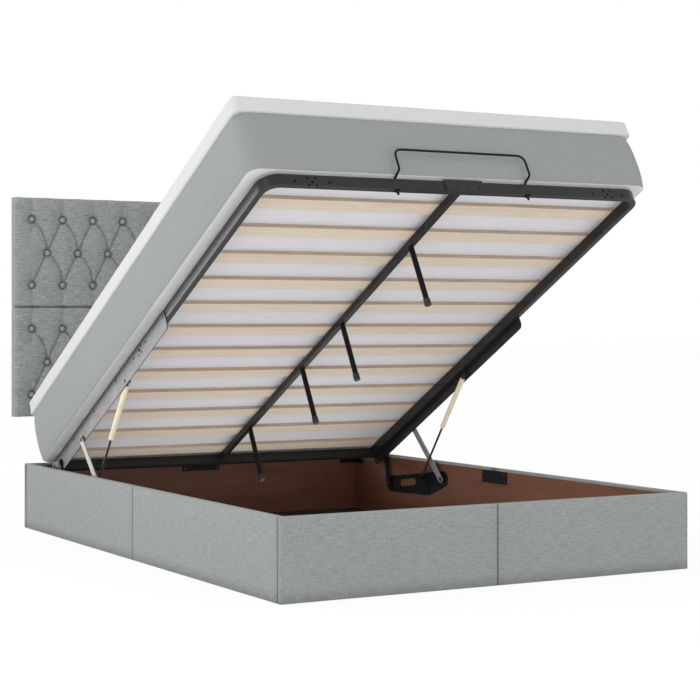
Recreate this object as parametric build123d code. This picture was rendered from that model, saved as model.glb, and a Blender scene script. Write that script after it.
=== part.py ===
from build123d import *
from math import atan2, cos, degrees, hypot, radians, sin, sqrt
import os

# Ottoman storage bed, shown with its platform raised
# Millimetres, +X right seen from the foot, +Y to the head, +Z up
# Lengths are laid out from the middle of the base and moved to the origin at the end

# Mattress and topper
mattress_length = 1998.0
mattress_width = 1450.0
mattress_height = 194.0
mattress_corner = 42.0
border_draw = 7.5
topper_height = 56.0
topper_inset = 1.0
topper_corner = 20.0
topper_edge = 5.0
soft_gap = 0.3

# Base box of upholstered boards
base_height = 241.0
board_thickness = 17.0
cover_thickness = 3.0
cover_round = 6.0
lip_thickness = 1.5
lip_depth = 10.0
seam_gap = 1.0
seam_round = 1.5
side_overhang = 5.0
closed_head_gap = 58.0
glide_width = 14.0
glide_height = 3.0
glide_inset = 80.0
floor_panel_thickness = 3.0
floor_panel_gap = 0.3

# Joiner plates, corner brackets and the hexagon heads that hold them
joiner_length = 160.0
joiner_height = 45.0
joiner_thickness = 2.0
bracket_leg = 70.0
bracket_height = 40.0
bracket_thickness = 3.0
fitting_drop = 1.0
fitting_corner = 6.0
head_radius = 6.0
head_height = 2.0
head_end_inset = 12.0
head_side_inset = 9.0

# Headboard of four buttoned panels on two struts
headboard_overhang = 30.0
headboard_bottom = 414.0
headboard_gap = 12.0
panel_height = 415.0
cushion_thickness = 36.0
cushion_edge = 11.0
backboard_thickness = 12.0
backboard_inset = 1.0
button_columns = 6
button_side_inset = 68.0
button_row_shares = (0.2, 0.495, 0.8)
button_radius = 9.0
button_height = 4.5
button_crown_share = 0.55
button_sides = 8
dimple_sides = 8
dimple_radius = 17.0
dimple_floor_radius = 10.0
dimple_depth = 11.0
pleat_half_width = 8.0
pleat_depth = 5.0
strut_width = 60.0
strut_thickness = 22.0
strut_place_share = 0.53
strut_foot = 40.0
strut_rise_share = 0.8
spacer_height = 140.0
spacer_foot = 60.0
spacer_bolt_shares = (0.25, 0.75)
panel_bolt_shares = (0.25, 0.75, 1.25, 1.5)
strut_head_height = 4.0
strut_head_radius = 9.0

# Platform frame of steel tube
platform_tilt = 29.0
closed_rise = 7.0
open_shift = 85.0
open_rise = 1.0
side_gap = 20.0
foot_gap = 13.0
head_inset = 30.0
rail_width = 20.0
rail_height = 35.0
rail_corner = 60.0
tube_wall = 1.5
side_joint_share = 0.505
beam_width = 20.0
slat_count = 12
slat_width = 56.0
slat_thickness = 12.0
slat_head_inset = 99.0
slat_foot_inset = 172.0
leg_radius = 9.0
leg_place_shares = (0.16, 0.4, 0.566, 0.823)
leg_cap_wall = 2.0
leg_cap_height = 22.0
leg_fit = 0.05
leg_floor_gap = 1.0
foot_plate_length = 140.0
foot_plate_height = 43.0
foot_plate_thickness = 3.0
foot_plate_round = 4.0
foot_plate_bolt_shares = (-1.0, -0.333, 0.333, 1.0)

# Retainer bar at the foot of the mattress
bar_radius = 3.5
bar_sides = 8
bar_half_width = 235.0
bar_rise = 73.0
bar_reach = 31.0
bar_step_low = 9.0
bar_step_high = 3.0
bar_bend_low = 6.0
bar_bend = 9.0
bar_corner = 28.0
bar_tail = 14.0
bar_fit = 0.2
lug_width = 14.0
lug_thickness = 3.0
nut_radius = 5.5
nut_height = 5.0

# Lift plates, links and pivots
lift_thickness = 3.0
lift_length = 1165.0
lift_top = 14.0
lift_bottom = 83.0
lift_corner = 18.0
lift_bolt_shares = (0.0, 0.2, 0.4, 0.6, 0.8, 1.0)
link_thickness = 4.0
link_gap = 1.5
link_radius = 12.5
front_pivot_reach = 352.5
front_pivot_drop = 68.7
front_link_length = 273.1
rear_pivot_reach = 120.0
rear_pivot_drop = 50.0
rear_link_length = 140.0
pivot_radius = 5.0
pivot_fit = 0.05
pivot_head_radius = 9.0
pivot_head_height = 3.0
pivot_side_gap = 0.3
bush_radius = 10.0
sunk_head_height = 1.5
open_pivot_gap = 0.3
base_plate_thickness = 3.0
base_plate_round = 30.0
base_plate_slot_radius = 14.0
base_plate_slot_share = 0.333
base_plate_bolt_drop = 18.0

# Gas springs under the side tubes
gas_pivot_reach = 797.0
gas_pivot_drop = 66.5
gas_open_length = 500.0
gas_axis_angle = 53.4
gas_cylinder_radius = 9.0
gas_rod_radius = 4.0
gas_eye_radius = 8.0
gas_eye_thickness = 10.0
gas_pin_radius = 4.0
gas_neck_radius = 4.5
gas_cylinder_start = 18.0
gas_cylinder_end = 252.0
gas_cylinder_cap = 2.5
gas_rod_hold = 10.0
gas_neck_length = 20.0
gas_cap_radius = 6.0
gas_cap_height = 2.0
ear_thickness = 3.0
ear_gap = 0.5
ear_radius = 10.0
ear_web_drop = 22.0
ear_flange_height = 40.0

# Sizes of the box that follow from the mattress
wall = board_thickness + cover_thickness
base_length = mattress_length + closed_head_gap + 2 * wall
base_width = mattress_width - 2 * side_overhang
half_length = base_length / 2
half_width = base_width / 2
inner_half_length = half_length - wall
inner_half_width = half_width - wall
board_top = base_height - cover_thickness
rear_depth = headboard_gap + cushion_thickness + backboard_thickness + strut_thickness + strut_head_height
origin_y = rear_depth / 2

# Places across the width, from the side tube out to the side board
rail_outer = inner_half_width - side_gap
rail_inner = rail_outer - rail_width
gas_x = rail_outer - rail_width / 2
lift_outer = rail_outer + lift_thickness
link_inner = lift_outer + link_gap
link_outer = link_inner + link_thickness
base_plate_inner = inner_half_width - base_plate_thickness

# Places on the platform, measured from the mattress's lower head edge
closed_y = inner_half_length - closed_head_gap
closed_z = base_height + closed_rise
rail_reach = closed_y + inner_half_length - foot_gap
rail_top = -slat_thickness
rail_bottom = rail_top - rail_height
rail_middle = rail_top - rail_height / 2
side_joint_reach = side_joint_share * rail_reach
bar_line = -rail_reach + rail_width / 2
raised = Location((0, closed_y - open_shift, closed_z + open_rise), (-platform_tilt, 0, 0))


def block(x, y, z):
    """A box between pairs of limits."""
    size = (x[1] - x[0], y[1] - y[0], z[1] - z[0])
    return Pos(x[0], y[0], z[0]) * Box(*size, align=(Align.MIN, Align.MIN, Align.MIN))


def pin(start, direction, radius, length):
    """A round bar from a point along a direction."""
    bar = Cylinder(radius, length, align=(Align.CENTER, Align.CENTER, Align.MIN))
    return Plane(start, z_dir=direction) * bar


def hex_head(start, direction, radius=head_radius, height=head_height):
    """A hexagon head that sits on a face."""
    return extrude(Plane(start, z_dir=direction) * RegularPolygon(radius, 6), height)


def group(parts):
    """Separate solids kept together in one node."""
    return Compound([solid for part in parts for solid in part.solids()])


def mirror_x(part):
    return mirror(part, about=Plane.YZ)


def mirror_y(part):
    return mirror(part, about=Plane.XZ)


def on_platform(reach, height):
    """Closed, level place of a platform point as (y, z)."""
    return (closed_y - reach, closed_z + height)


def when_raised(reach, height):
    """Raised place of a platform point as (y, z)."""
    spot = (raised * Pos(0, -reach, height)).position
    return (spot.Y, spot.Z)


def fixed_pivot(reach, drop, length):
    """Base pivot from which a link of this length meets both end places of its platform pivot."""
    low = on_platform(reach, -drop)
    high = when_raised(reach, -drop)
    middle = ((low[0] + high[0]) / 2, (low[1] + high[1]) / 2)
    travel = (low[0] - high[0], low[1] - high[1])
    span = hypot(*travel)
    back = sqrt(length**2 - span**2 / 4)
    return (middle[0] + travel[1] / span * back, middle[1] - travel[0] / span * back)


def turned(start, end):
    """Angle of the line between two (y, z) places."""
    return degrees(atan2(end[1] - start[1], end[0] - start[0]))


# Pivots of the lift mechanism as (y, z) places, with the platform raised
front_base = fixed_pivot(front_pivot_reach, front_pivot_drop, front_link_length)
rear_base = fixed_pivot(rear_pivot_reach, rear_pivot_drop, rear_link_length)
front_top = when_raised(front_pivot_reach, -front_pivot_drop)
rear_top = when_raised(rear_pivot_reach, -rear_pivot_drop)
gas_top = when_raised(gas_pivot_reach, -gas_pivot_drop)
gas_direction = (0, cos(radians(gas_axis_angle)), -sin(radians(gas_axis_angle)))
gas_base = (gas_top[0] + gas_direction[1] * gas_open_length,
            gas_top[1] + gas_direction[2] * gas_open_length)


# Base box

def board(length):
    """Board along +x with its inner face at y = 0."""
    return block((0, length), (0, board_thickness), (glide_height, board_top))


def cover(length, lip_length, wrapped_end):
    """Fabric over a board's outside and top edge, turned in over the inner face."""
    total = length + cover_thickness if wrapped_end else length
    skin = block((seam_gap / 2, total), (0, wall), (glide_height, base_height)) - board(length)
    skin += block((seam_gap / 2, lip_length), (-lip_thickness, 0), (base_height - lip_depth, base_height))
    outer_top = skin.edges().filter_by(Axis.X).group_by(Axis.Z)[-1].sort_by(Axis.Y)[-1]
    skin = fillet(outer_top, cover_round)
    outer_uprights = skin.edges().filter_by(Axis.Z).group_by(Axis.Y)[-1]
    return chamfer(outer_uprights.sort_by(Axis.X)[0], seam_round)


def glides(length):
    """Two nailed plastic glides under a board."""
    pad = Box(glide_width, glide_width, glide_height, align=(Align.CENTER, Align.CENTER, Align.MIN))
    return [Pos(x, board_thickness / 2, 0) * pad for x in (glide_inset, length - glide_inset)]


to_side = Pos(inner_half_width, 0, 0) * Rot(0, 0, -90)
to_foot = Pos(0, -inner_half_length, 0) * Rot(0, 0, 180)
side_length = inner_half_length
end_length = half_width - cover_thickness
end_lip_length = inner_half_width - lip_thickness - seam_gap

side_board = to_side * board(side_length)
side_cover = to_side * cover(side_length - seam_gap, side_length - seam_gap, False)
foot_board = to_foot * board(end_length)
foot_cover = to_foot * cover(end_length, end_lip_length, True)
quarter_glides = [to_side * glide for glide in glides(side_length)]
quarter_glides += [to_foot * glide for glide in glides(end_length)]


def all_corners(parts):
    """A front right or left set repeated on all four quarters."""
    front = list(parts) + [mirror_x(part) for part in parts]
    return front + [mirror_y(part) for part in front]


def floor_panel():
    """Rear half of the storage floor."""
    x = inner_half_width - floor_panel_gap
    y = inner_half_length - floor_panel_gap
    return block((-x, x), (floor_panel_gap, y), (0, floor_panel_thickness))


# Joiners and corner brackets, below the fabric lip

fitting_top = base_height - lip_depth - fitting_drop


def rounded_plate(plane, length, height, corner, thickness):
    return extrude(plane * RectangleRounded(length, height, corner), thickness)


def joiner(origin, inward):
    """Plate over a butt joint and its four screw heads."""
    level = fitting_top - joiner_height / 2
    along = Vector(0, 0, 1).cross(Vector(*inward))
    plane = Plane((origin[0], origin[1], level), x_dir=along, z_dir=inward)
    plate = rounded_plate(plane, joiner_length, joiner_height, fitting_corner, joiner_thickness)
    step_x = joiner_length / 2 - head_end_inset
    step_y = joiner_height / 2 - head_side_inset
    places = [plane * Pos(x, y, joiner_thickness) for x in (-step_x, step_x) for y in (-step_y, step_y)]
    heads = [hex_head(place.position, inward) for place in places]
    return plate, heads


def corner_bracket():
    """Angle plate in the right foot corner with two screw heads on each leg."""
    x, y = inner_half_width, -inner_half_length
    z = (fitting_top - bracket_height, fitting_top)
    plate = block((x - bracket_thickness, x), (y, y + bracket_leg), z)
    plate += block((x - bracket_leg, x), (y, y + bracket_thickness), z)
    level = fitting_top - bracket_height / 2
    heads = []
    for reach in (bracket_leg / 2, bracket_leg - head_side_inset):
        heads.append(hex_head((x - bracket_thickness, y + reach, level), (-1, 0, 0)))
        heads.append(hex_head((x - reach, y + bracket_thickness, level), (0, 1, 0)))
    return plate, heads


def base_fittings():
    side_plate, side_heads = joiner((inner_half_width, 0), (-1, 0, 0))
    foot_plate, foot_heads = joiner((0, -inner_half_length), (0, 1, 0))
    plates = [side_plate, mirror_x(side_plate), foot_plate, mirror_y(foot_plate)]
    bracket, bracket_heads = corner_bracket()
    brackets = all_corners([bracket])
    heads = side_heads + [mirror_x(head) for head in side_heads]
    heads += foot_heads + [mirror_y(head) for head in foot_heads]
    heads += all_corners(bracket_heads)
    return plates, brackets, heads


# Headboard

panel_width = half_width + headboard_overhang
button_pitch = (panel_width - 2 * button_side_inset) / (button_columns - 1)
cushion_front = half_length + headboard_gap
backboard_front = cushion_front + cushion_thickness
strut_front = backboard_front + backboard_thickness
strut_x = strut_place_share * half_width
strut_rise = headboard_bottom + 2 * strut_rise_share * panel_height


def button_places():
    """Staggered rows of buttons on one panel as (x, z) lists, lowest row first."""
    rows = []
    for row, share in enumerate(button_row_shares):
        stagger = row % 2
        count = button_columns - stagger
        start = button_side_inset + stagger * button_pitch / 2
        rows.append([(start + n * button_pitch, share * panel_height) for n in range(count)])
    return rows


def pleats():
    """Ends of the sewn pleats: diagonals between rows and straight ones to the edges."""
    low, middle, high = button_places()
    lines = []
    for n, knot in enumerate(middle):
        lines += [(knot, near) for near in (low[n], low[n + 1], high[n], high[n + 1])]
    lines += [(knot, (knot[0], 0)) for knot in low]
    lines += [(knot, (knot[0], panel_height)) for knot in high]
    return lines


def pleat_cut(start, end):
    """Vee-shaped groove in the front face between two places."""
    run = Vector(end[0] - start[0], 0, end[1] - start[1])
    plane = Plane((start[0], 0, start[1]), x_dir=(0, 1, 0), z_dir=run)
    over = pleat_depth
    side = pleat_half_width * (pleat_depth + over) / pleat_depth
    vee = Polygon((-over, -side), (-over, side), (pleat_depth, 0), align=None)
    return extrude(plane * vee, run.length)


def cushion():
    """One panel's cushion: eased front edges, sewn pleats and button dimples."""
    pad = block((soft_gap, panel_width - soft_gap), (0, cushion_thickness - soft_gap),
                (soft_gap, panel_height - soft_gap))
    pad = chamfer(pad.edges().group_by(Axis.Y)[0], cushion_edge)
    cuts = [pleat_cut(start, end) for start, end in pleats()]
    rim = RegularPolygon(dimple_radius, dimple_sides)
    floor = Pos(0, 0, dimple_depth) * RegularPolygon(dimple_floor_radius, dimple_sides)
    dimple = Rot(-90, 0, 0) * loft([rim, floor], ruled=True)
    cuts += [Pos(x, 0, z) * dimple for x, z in sum(button_places(), [])]
    return pad - cuts


def button():
    """Covered button on a dimple's floor, crowned towards the front."""
    outline = RegularPolygon(button_radius, button_sides)
    crown = RegularPolygon(button_radius * button_crown_share, button_sides)
    body = loft([outline, Pos(0, 0, button_height) * crown], ruled=True)
    return Pos(0, dimple_depth - soft_gap, 0) * Rot(90, 0, 0) * body


def backboard():
    return block((backboard_inset, panel_width - backboard_inset), (0, backboard_thickness),
                 (backboard_inset, panel_height - backboard_inset))


def strut():
    """Right strut behind the panels, its spacer to the base, and its bolt heads."""
    x = (strut_x - strut_width / 2, strut_x + strut_width / 2)
    post = block(x, (strut_front, strut_front + strut_thickness), (strut_foot, strut_rise))
    spacer = block(x, (half_length, strut_front), (spacer_foot, spacer_foot + spacer_height))
    levels = [spacer_foot + spacer_height * share for share in spacer_bolt_shares]
    levels += [headboard_bottom + panel_height * share for share in panel_bolt_shares]
    back = strut_front + strut_thickness
    heads = [hex_head((strut_x, back, level), (0, 1, 0), strut_head_radius, strut_head_height)
             for level in levels]
    return post, spacer, heads


# Platform frame, laid out level with +x right, -y to the foot, z = 0 under the mattress

def tube(width, height):
    """Open section of a rectangular tube."""
    return Rectangle(width, height) - Rectangle(width - 2 * tube_wall, height - 2 * tube_wall)


def front_tube():
    """Right half of the front frame: from the side joint round the corner to the middle, holed for the bar."""
    x = rail_outer - rail_width / 2
    foot = -(rail_reach - rail_width / 2)
    points = [(x, -side_joint_reach, rail_middle), (x, foot, rail_middle), (0, foot, rail_middle)]
    path = FilletPolyline(*points, radius=rail_corner - rail_width / 2)
    section = Plane(points[0], x_dir=(1, 0, 0), z_dir=(0, -1, 0)) * tube(rail_width, rail_height)
    hole = pin((bar_half_width, bar_line, rail_bottom), (0, 0, 1), bar_radius + bar_fit, rail_height)
    return sweep(section, path=path) - hole


def straight_tube(start, end, width, height):
    """Tube between two points, its width level."""
    run = Vector(*end) - Vector(*start)
    plane = Plane(start, x_dir=run.cross(Vector(0, 0, 1)), z_dir=run)
    return extrude(plane * tube(width, height), run.length)


def rear_tube():
    x = rail_outer - rail_width / 2
    return straight_tube((x, -side_joint_reach, rail_middle), (x, -head_inset, rail_middle),
                         rail_width, rail_height)


def head_tube():
    y = -head_inset - rail_width / 2
    return straight_tube((-rail_inner, y, rail_middle), (rail_inner, y, rail_middle), rail_width, rail_height)


def centre_beam():
    z = rail_top - beam_width / 2
    return straight_tube((0, -(rail_reach - rail_width), z), (0, -head_inset - rail_width, z),
                         beam_width, beam_width)


def slats():
    """Slats across the side tubes, evenly pitched."""
    x = rail_outer - rail_width / 2
    first = slat_head_inset
    pitch = (mattress_length - slat_foot_inset - slat_head_inset) / (slat_count - 1)
    boards = []
    for n in range(slat_count):
        y = -(first + n * pitch)
        boards.append(block((-x, x), (y - slat_width / 2, y + slat_width / 2), (rail_top, 0)))
    return boards


def legs():
    """Round legs under the centre beam and the plastic cap on each."""
    top = rail_top - beam_width
    bottom = -(closed_z - floor_panel_thickness - leg_floor_gap)
    tubes = []
    caps = []
    for share in leg_place_shares:
        y = -share * rail_reach
        seat = bottom + leg_cap_wall
        tubes.append(pin((0, y, seat), (0, 0, 1), leg_radius, top - seat))
        cap = pin((0, y, bottom), (0, 0, 1), leg_radius + leg_cap_wall, leg_cap_height)
        caps.append(cap - pin((0, y, seat), (0, 0, 1), leg_radius + leg_fit, leg_cap_height))
    return tubes, caps


def foot_plate():
    """Plate over the joint of the front tubes, with its bolt heads."""
    plane = Plane((0, -rail_reach, rail_middle), x_dir=(1, 0, 0), z_dir=(0, -1, 0))
    plate = rounded_plate(plane, foot_plate_length, foot_plate_height, foot_plate_round, foot_plate_thickness)
    face = -rail_reach - foot_plate_thickness
    reach = foot_plate_length / 2 - head_end_inset
    spots = [(share * reach, face, rail_middle) for share in foot_plate_bolt_shares]
    return plate, [hex_head(spot, (0, -1, 0)) for spot in spots]


def retainer_bar():
    """Bent round bar that stands over the foot of the mattress, its ends through the foot tube."""
    high = -rail_reach - bar_reach
    tail = rail_bottom - bar_tail
    right = [(bar_half_width, bar_line, tail), (bar_half_width, bar_line, -bar_step_low),
             (bar_half_width, high, bar_step_high), (bar_half_width, high, bar_rise)]
    left = [(-x, y, z) for x, y, z in reversed(right)]
    radii = [bar_bend_low, bar_bend, bar_corner, bar_corner, bar_bend, bar_bend_low]
    path = FilletPolyline(*right, *left, radius=radii)
    return sweep(Plane(right[0], z_dir=(0, 0, 1)) * RegularPolygon(bar_radius, bar_sides), path=path)


def retainer_lug():
    """Square lug under the foot tube that the bar's right end passes through."""
    x = (bar_half_width - lug_width / 2, bar_half_width + lug_width / 2)
    y = (bar_line - lug_width / 2, bar_line + lug_width / 2)
    low = rail_bottom - lug_thickness
    hole = pin((bar_half_width, bar_line, low), (0, 0, 1), bar_radius + bar_fit, lug_thickness)
    return block(x, y, (low, rail_bottom)) - hole


def retainer_nut():
    """Nut below the lug on the bar's right end."""
    spot = (bar_half_width, bar_line, rail_bottom - lug_thickness)
    nut = hex_head(spot, (0, 0, -1), nut_radius, nut_height)
    return nut - pin(spot, (0, 0, -1), bar_radius + pivot_fit, nut_height)


def lift_plate():
    """Right plate on the outside of the side tube, holed for the link and gas pivots."""
    height = lift_bottom - lift_top
    middle = (-head_inset - lift_length / 2, -lift_top - height / 2)
    plane = Plane((rail_outer, 0, 0), x_dir=(0, 1, 0), z_dir=(1, 0, 0))
    outline = Pos(*middle) * RectangleRounded(lift_length, height, lift_corner)
    outline -= Pos(-front_pivot_reach, -front_pivot_drop) * Circle(pivot_radius + pivot_fit)
    outline -= Pos(-gas_pivot_reach, -gas_pivot_drop) * Circle(gas_pin_radius + pivot_fit)
    return extrude(plane * outline, lift_thickness)


def lift_bolts():
    """Heads of the bolts that hold the right lift plate to the side tube."""
    ends = (head_inset + lift_corner, head_inset + lift_length - lift_corner)
    places = [ends[0] + share * (ends[1] - ends[0]) for share in lift_bolt_shares]
    return [hex_head((lift_outer, -reach, rail_middle), (1, 0, 0)) for reach in places]


def platform_pins():
    """Right front link bolt and right upper gas bolt, fixed in the lift plate."""
    y, z = -front_pivot_reach, -front_pivot_drop
    bolt = pin((rail_outer, y, z), (1, 0, 0), pivot_radius, link_outer + pivot_side_gap - rail_outer)
    collar = pin((lift_outer, y, z), (1, 0, 0), bush_radius, link_gap - pivot_side_gap)
    head = hex_head((link_outer + pivot_side_gap, y, z), (1, 0, 0), pivot_head_radius, pivot_head_height)
    y, z = -gas_pivot_reach, -gas_pivot_drop
    eye_outer = gas_x + gas_eye_thickness / 2
    eye_inner = gas_x - gas_eye_thickness / 2
    shaft_end = eye_inner - pivot_side_gap
    shaft = pin((shaft_end, y, z), (1, 0, 0), gas_pin_radius, lift_outer - shaft_end)
    spacer = pin((eye_outer + pivot_side_gap, y, z), (1, 0, 0), gas_cap_radius,
                 rail_outer - eye_outer - pivot_side_gap)
    outer_cap = hex_head((lift_outer, y, z), (1, 0, 0), gas_cap_radius, gas_cap_height)
    inner_cap = hex_head((shaft_end, y, z), (-1, 0, 0), gas_cap_radius, gas_cap_height)
    return [bolt + collar + head, shaft + spacer + outer_cap + inner_cap]


# Lift mechanism on the right side board, in its raised place

def link(base, top):
    """Flat link between two pivots, counterbored inside for the base pivot's sunk head."""
    middle = ((base[0] + top[0]) / 2, (base[1] + top[1]) / 2)
    run = Vector(0, top[0] - base[0], top[1] - base[1])
    plane = Plane((link_inner, *middle), x_dir=run, z_dir=(1, 0, 0))
    bar = extrude(plane * SlotCenterToCenter(run.length, 2 * link_radius), link_thickness)
    bar -= pin((link_inner, *base), (1, 0, 0), pivot_radius + pivot_fit, link_thickness)
    sunk = sunk_head_height + pivot_side_gap
    return bar - pin((link_inner, *base), (1, 0, 0), pivot_head_radius + pivot_side_gap, sunk)


def front_link():
    hole = pin((link_inner, *front_top), (1, 0, 0), pivot_radius + pivot_fit, link_thickness)
    return link(front_base, front_top) - hole


def rear_link():
    """Rear link with the rivet of its upper pivot, which stops just short of the lift plate."""
    start = lift_outer + open_pivot_gap
    rivet = pin((start, *rear_top), (1, 0, 0), pivot_radius, link_inner - start)
    head = pin((link_outer, *rear_top), (1, 0, 0), pivot_head_radius, pivot_head_height)
    return link(rear_base, rear_top) + rivet + head


def base_pin(place):
    """Base pivot: bush against the base plate, shaft through the link, sunk head."""
    start = link_outer + pivot_side_gap
    bush = pin((start, *place), (1, 0, 0), bush_radius, base_plate_inner - start)
    shaft = pin((link_inner, *place), (1, 0, 0), pivot_radius, start - link_inner)
    head = pin((link_inner, *place), (1, 0, 0), pivot_head_radius, sunk_head_height)
    return bush + shaft + head


def pin_line(y):
    """Height at y of the line through the two base pins."""
    share = (y - front_base[0]) / (rear_base[0] - front_base[0])
    return front_base[1] + share * (rear_base[1] - front_base[1])


def base_plate():
    """Plate on the side board that carries both links and the gas spring, with its screw heads."""
    centres = [front_base, rear_base, (gas_base[0], front_base[1] - ear_flange_height)]
    plane = Plane((base_plate_inner, 0, 0), x_dir=(0, 1, 0), z_dir=(1, 0, 0))
    rounds = [Pos(*centre) * Circle(base_plate_round) for centre in centres]
    outline = make_hull(Sketch(children=rounds).edges())
    slot_y = (gas_base[0] + rear_base[0]) / 2 + ear_radius
    slot_length = base_plate_slot_share * (rear_base[0] - gas_base[0])
    slot = SlotCenterToCenter(slot_length, 2 * base_plate_slot_radius)
    outline -= Pos(slot_y, pin_line(slot_y)) * Rot(0, 0, turned(front_base, rear_base)) * slot
    plate = extrude(plane * outline, base_plate_thickness)
    heads = [hex_head((base_plate_inner, y, z - base_plate_bolt_drop), (-1, 0, 0))
             for y, z in (front_base, rear_base)]
    slot_end = slot_y + slot_length / 2 + base_plate_slot_radius
    head_y = (slot_end + rear_base[0] - bush_radius) / 2
    heads.append(hex_head((base_plate_inner, head_y, pin_line(head_y)), (-1, 0, 0)))
    return plate, heads


def gas_ear():
    """Stepped bracket from the base plate under the front link to the rod eye's inner side."""
    outer = rail_outer - ear_gap
    inner = outer - ear_thickness
    y = (gas_base[0] - ear_radius, gas_base[0] + ear_radius)
    web_top = gas_base[1] - ear_web_drop
    web_low = web_top - ear_thickness
    flange = block((base_plate_inner - ear_thickness, base_plate_inner), y,
                   (web_top - ear_flange_height, web_top))
    web = block((inner, base_plate_inner), y, (web_low, web_top))
    ear = block((inner, outer), y, (web_low, gas_base[1])) + pin((inner, *gas_base), (1, 0, 0), ear_radius,
                                                                ear_thickness)
    stud_start = gas_x + gas_eye_thickness / 2 + open_pivot_gap
    stud = pin((stud_start, *gas_base), (1, 0, 0), gas_pin_radius, inner - stud_start)
    return flange + web + ear + stud


def gas_plane():
    """Plane at the upper gas pivot whose z runs down the spring and whose x runs right."""
    return Plane((gas_x, *gas_top), x_dir=(1, 0, 0), z_dir=gas_direction)


def eye(distance):
    """Round eye across the spring's axis at a distance from the upper pivot."""
    centre = Plane(gas_plane().from_local_coords(Vector(0, 0, distance)), z_dir=(1, 0, 0))
    return centre * Cylinder(gas_eye_radius, gas_eye_thickness)


def gas_cylinder():
    """Cylinder of the right gas spring, bored for the rod."""
    plane = gas_plane()
    low = (Align.CENTER, Align.CENTER, Align.MIN)
    body_length = gas_cylinder_end - gas_cylinder_start
    body = Pos(0, 0, gas_cylinder_start) * Cylinder(gas_cylinder_radius, body_length, align=low)
    bore_start = gas_cylinder_start + gas_cylinder_cap
    bore = Pos(0, 0, bore_start) * Cylinder(gas_rod_radius + pivot_fit, gas_cylinder_end - bore_start, align=low)
    return plane * (body - bore)


def gas_top_eye():
    """Black end fitting of the cylinder, holed for the upper gas bolt."""
    plane = gas_plane()
    neck = Cylinder(gas_neck_radius, gas_cylinder_start, align=(Align.CENTER, Align.CENTER, Align.MIN))
    hole = Plane(plane.origin, z_dir=(1, 0, 0)) * Cylinder(gas_pin_radius + pivot_fit, 2 * gas_eye_thickness)
    return plane * neck + eye(0) - hole


def gas_rod():
    """Rod with its lower eye and the cap of the opened lower pivot."""
    start = gas_cylinder_end - gas_rod_hold
    shaft = Cylinder(gas_rod_radius, gas_open_length - start, align=(Align.CENTER, Align.CENTER, Align.MIN))
    neck = Cylinder(gas_neck_radius, gas_neck_length, align=(Align.CENTER, Align.CENTER, Align.MAX))
    rod = gas_plane() * (Pos(0, 0, start) * shaft + Pos(0, 0, gas_open_length) * neck)
    cap = pin((gas_x - gas_eye_thickness / 2, *gas_base), (-1, 0, 0), gas_cap_radius, gas_cap_height)
    return rod + eye(gas_open_length) + cap


# Mattress and topper

def mattress():
    """Mattress with its border swollen between drawn-in edges."""
    levels = (soft_gap, mattress_height / 2, mattress_height)
    sections = []
    for level, draw in zip(levels, (border_draw, 0, border_draw)):
        outline = RectangleRounded(mattress_width - 2 * draw, mattress_length - 2 * draw, mattress_corner - draw)
        sections.append(Pos(0, -mattress_length / 2, level) * outline)
    return loft(sections, ruled=True)


def topper():
    """Thin topper with soft rounded edges."""
    low = mattress_height + soft_gap
    width = mattress_width - 2 * topper_inset
    length = mattress_length - 2 * topper_inset
    outline = Pos(0, -mattress_length / 2, low) * RectangleRounded(width, length, topper_corner)
    pad = extrude(outline, topper_height - soft_gap)
    return chamfer(pad.edges().group_by(Axis.Z)[-1] + pad.edges().group_by(Axis.Z)[0], topper_edge)


# All nodes, by name, before the move to the origin

nodes = {}

plates, brackets, panel_heads = base_fittings()
nodes["side_board_right_front"] = side_board
nodes["side_board_left_front"] = mirror_x(side_board)
nodes["side_board_right_rear"] = mirror_y(side_board)
nodes["side_board_left_rear"] = mirror_x(mirror_y(side_board))
nodes["foot_board_left"] = foot_board
nodes["foot_board_right"] = mirror_x(foot_board)
nodes["head_board_left"] = mirror_y(foot_board)
nodes["head_board_right"] = mirror_x(mirror_y(foot_board))
nodes["side_cover_right_front"] = side_cover
nodes["side_cover_left_front"] = mirror_x(side_cover)
nodes["side_cover_right_rear"] = mirror_y(side_cover)
nodes["side_cover_left_rear"] = mirror_x(mirror_y(side_cover))
nodes["foot_cover_left"] = foot_cover
nodes["foot_cover_right"] = mirror_x(foot_cover)
nodes["head_covers"] = group([mirror_y(foot_cover), mirror_x(mirror_y(foot_cover))])
nodes["glides"] = group(all_corners(quarter_glides))
nodes["storage_floor_rear"] = floor_panel()
nodes["storage_floor_front"] = mirror_y(floor_panel())
nodes["joiner_plates"] = group(plates)
nodes["corner_brackets"] = group(brackets)

right_base_plate, base_plate_heads = base_plate()
panel_heads += base_plate_heads + [mirror_x(head) for head in base_plate_heads]
nodes["panel_screws"] = group(panel_heads)
nodes["base_plates"] = group([right_base_plate, mirror_x(right_base_plate)])
base_pins = [base_pin(front_base), base_pin(rear_base)]
nodes["base_pivot_pins"] = group(base_pins + [mirror_x(part) for part in base_pins])
nodes["gas_brackets"] = group([gas_ear(), mirror_x(gas_ear())])

pad = cushion()
board_behind = backboard()
stud = button()
backboards = []
buttons = []
for level_name, level in (("lower", headboard_bottom), ("upper", headboard_bottom + panel_height)):
    for side_name, start in (("left", -panel_width), ("right", 0)):
        nodes[f"headboard_cushion_{level_name}_{side_name}"] = Pos(start, cushion_front, level) * pad
        backboards.append(Pos(start, backboard_front, level) * board_behind)
        buttons += [Pos(start + x, cushion_front, level + z) * stud for x, z in sum(button_places(), [])]
nodes["headboard_boards"] = group(backboards)
nodes["headboard_buttons"] = group(buttons)
post, spacer, strut_heads = strut()
nodes["headboard_struts"] = group([post, mirror_x(post)])
nodes["headboard_spacers"] = group([spacer, mirror_x(spacer)])
nodes["headboard_bolts"] = group(strut_heads + [mirror_x(head) for head in strut_heads])

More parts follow.
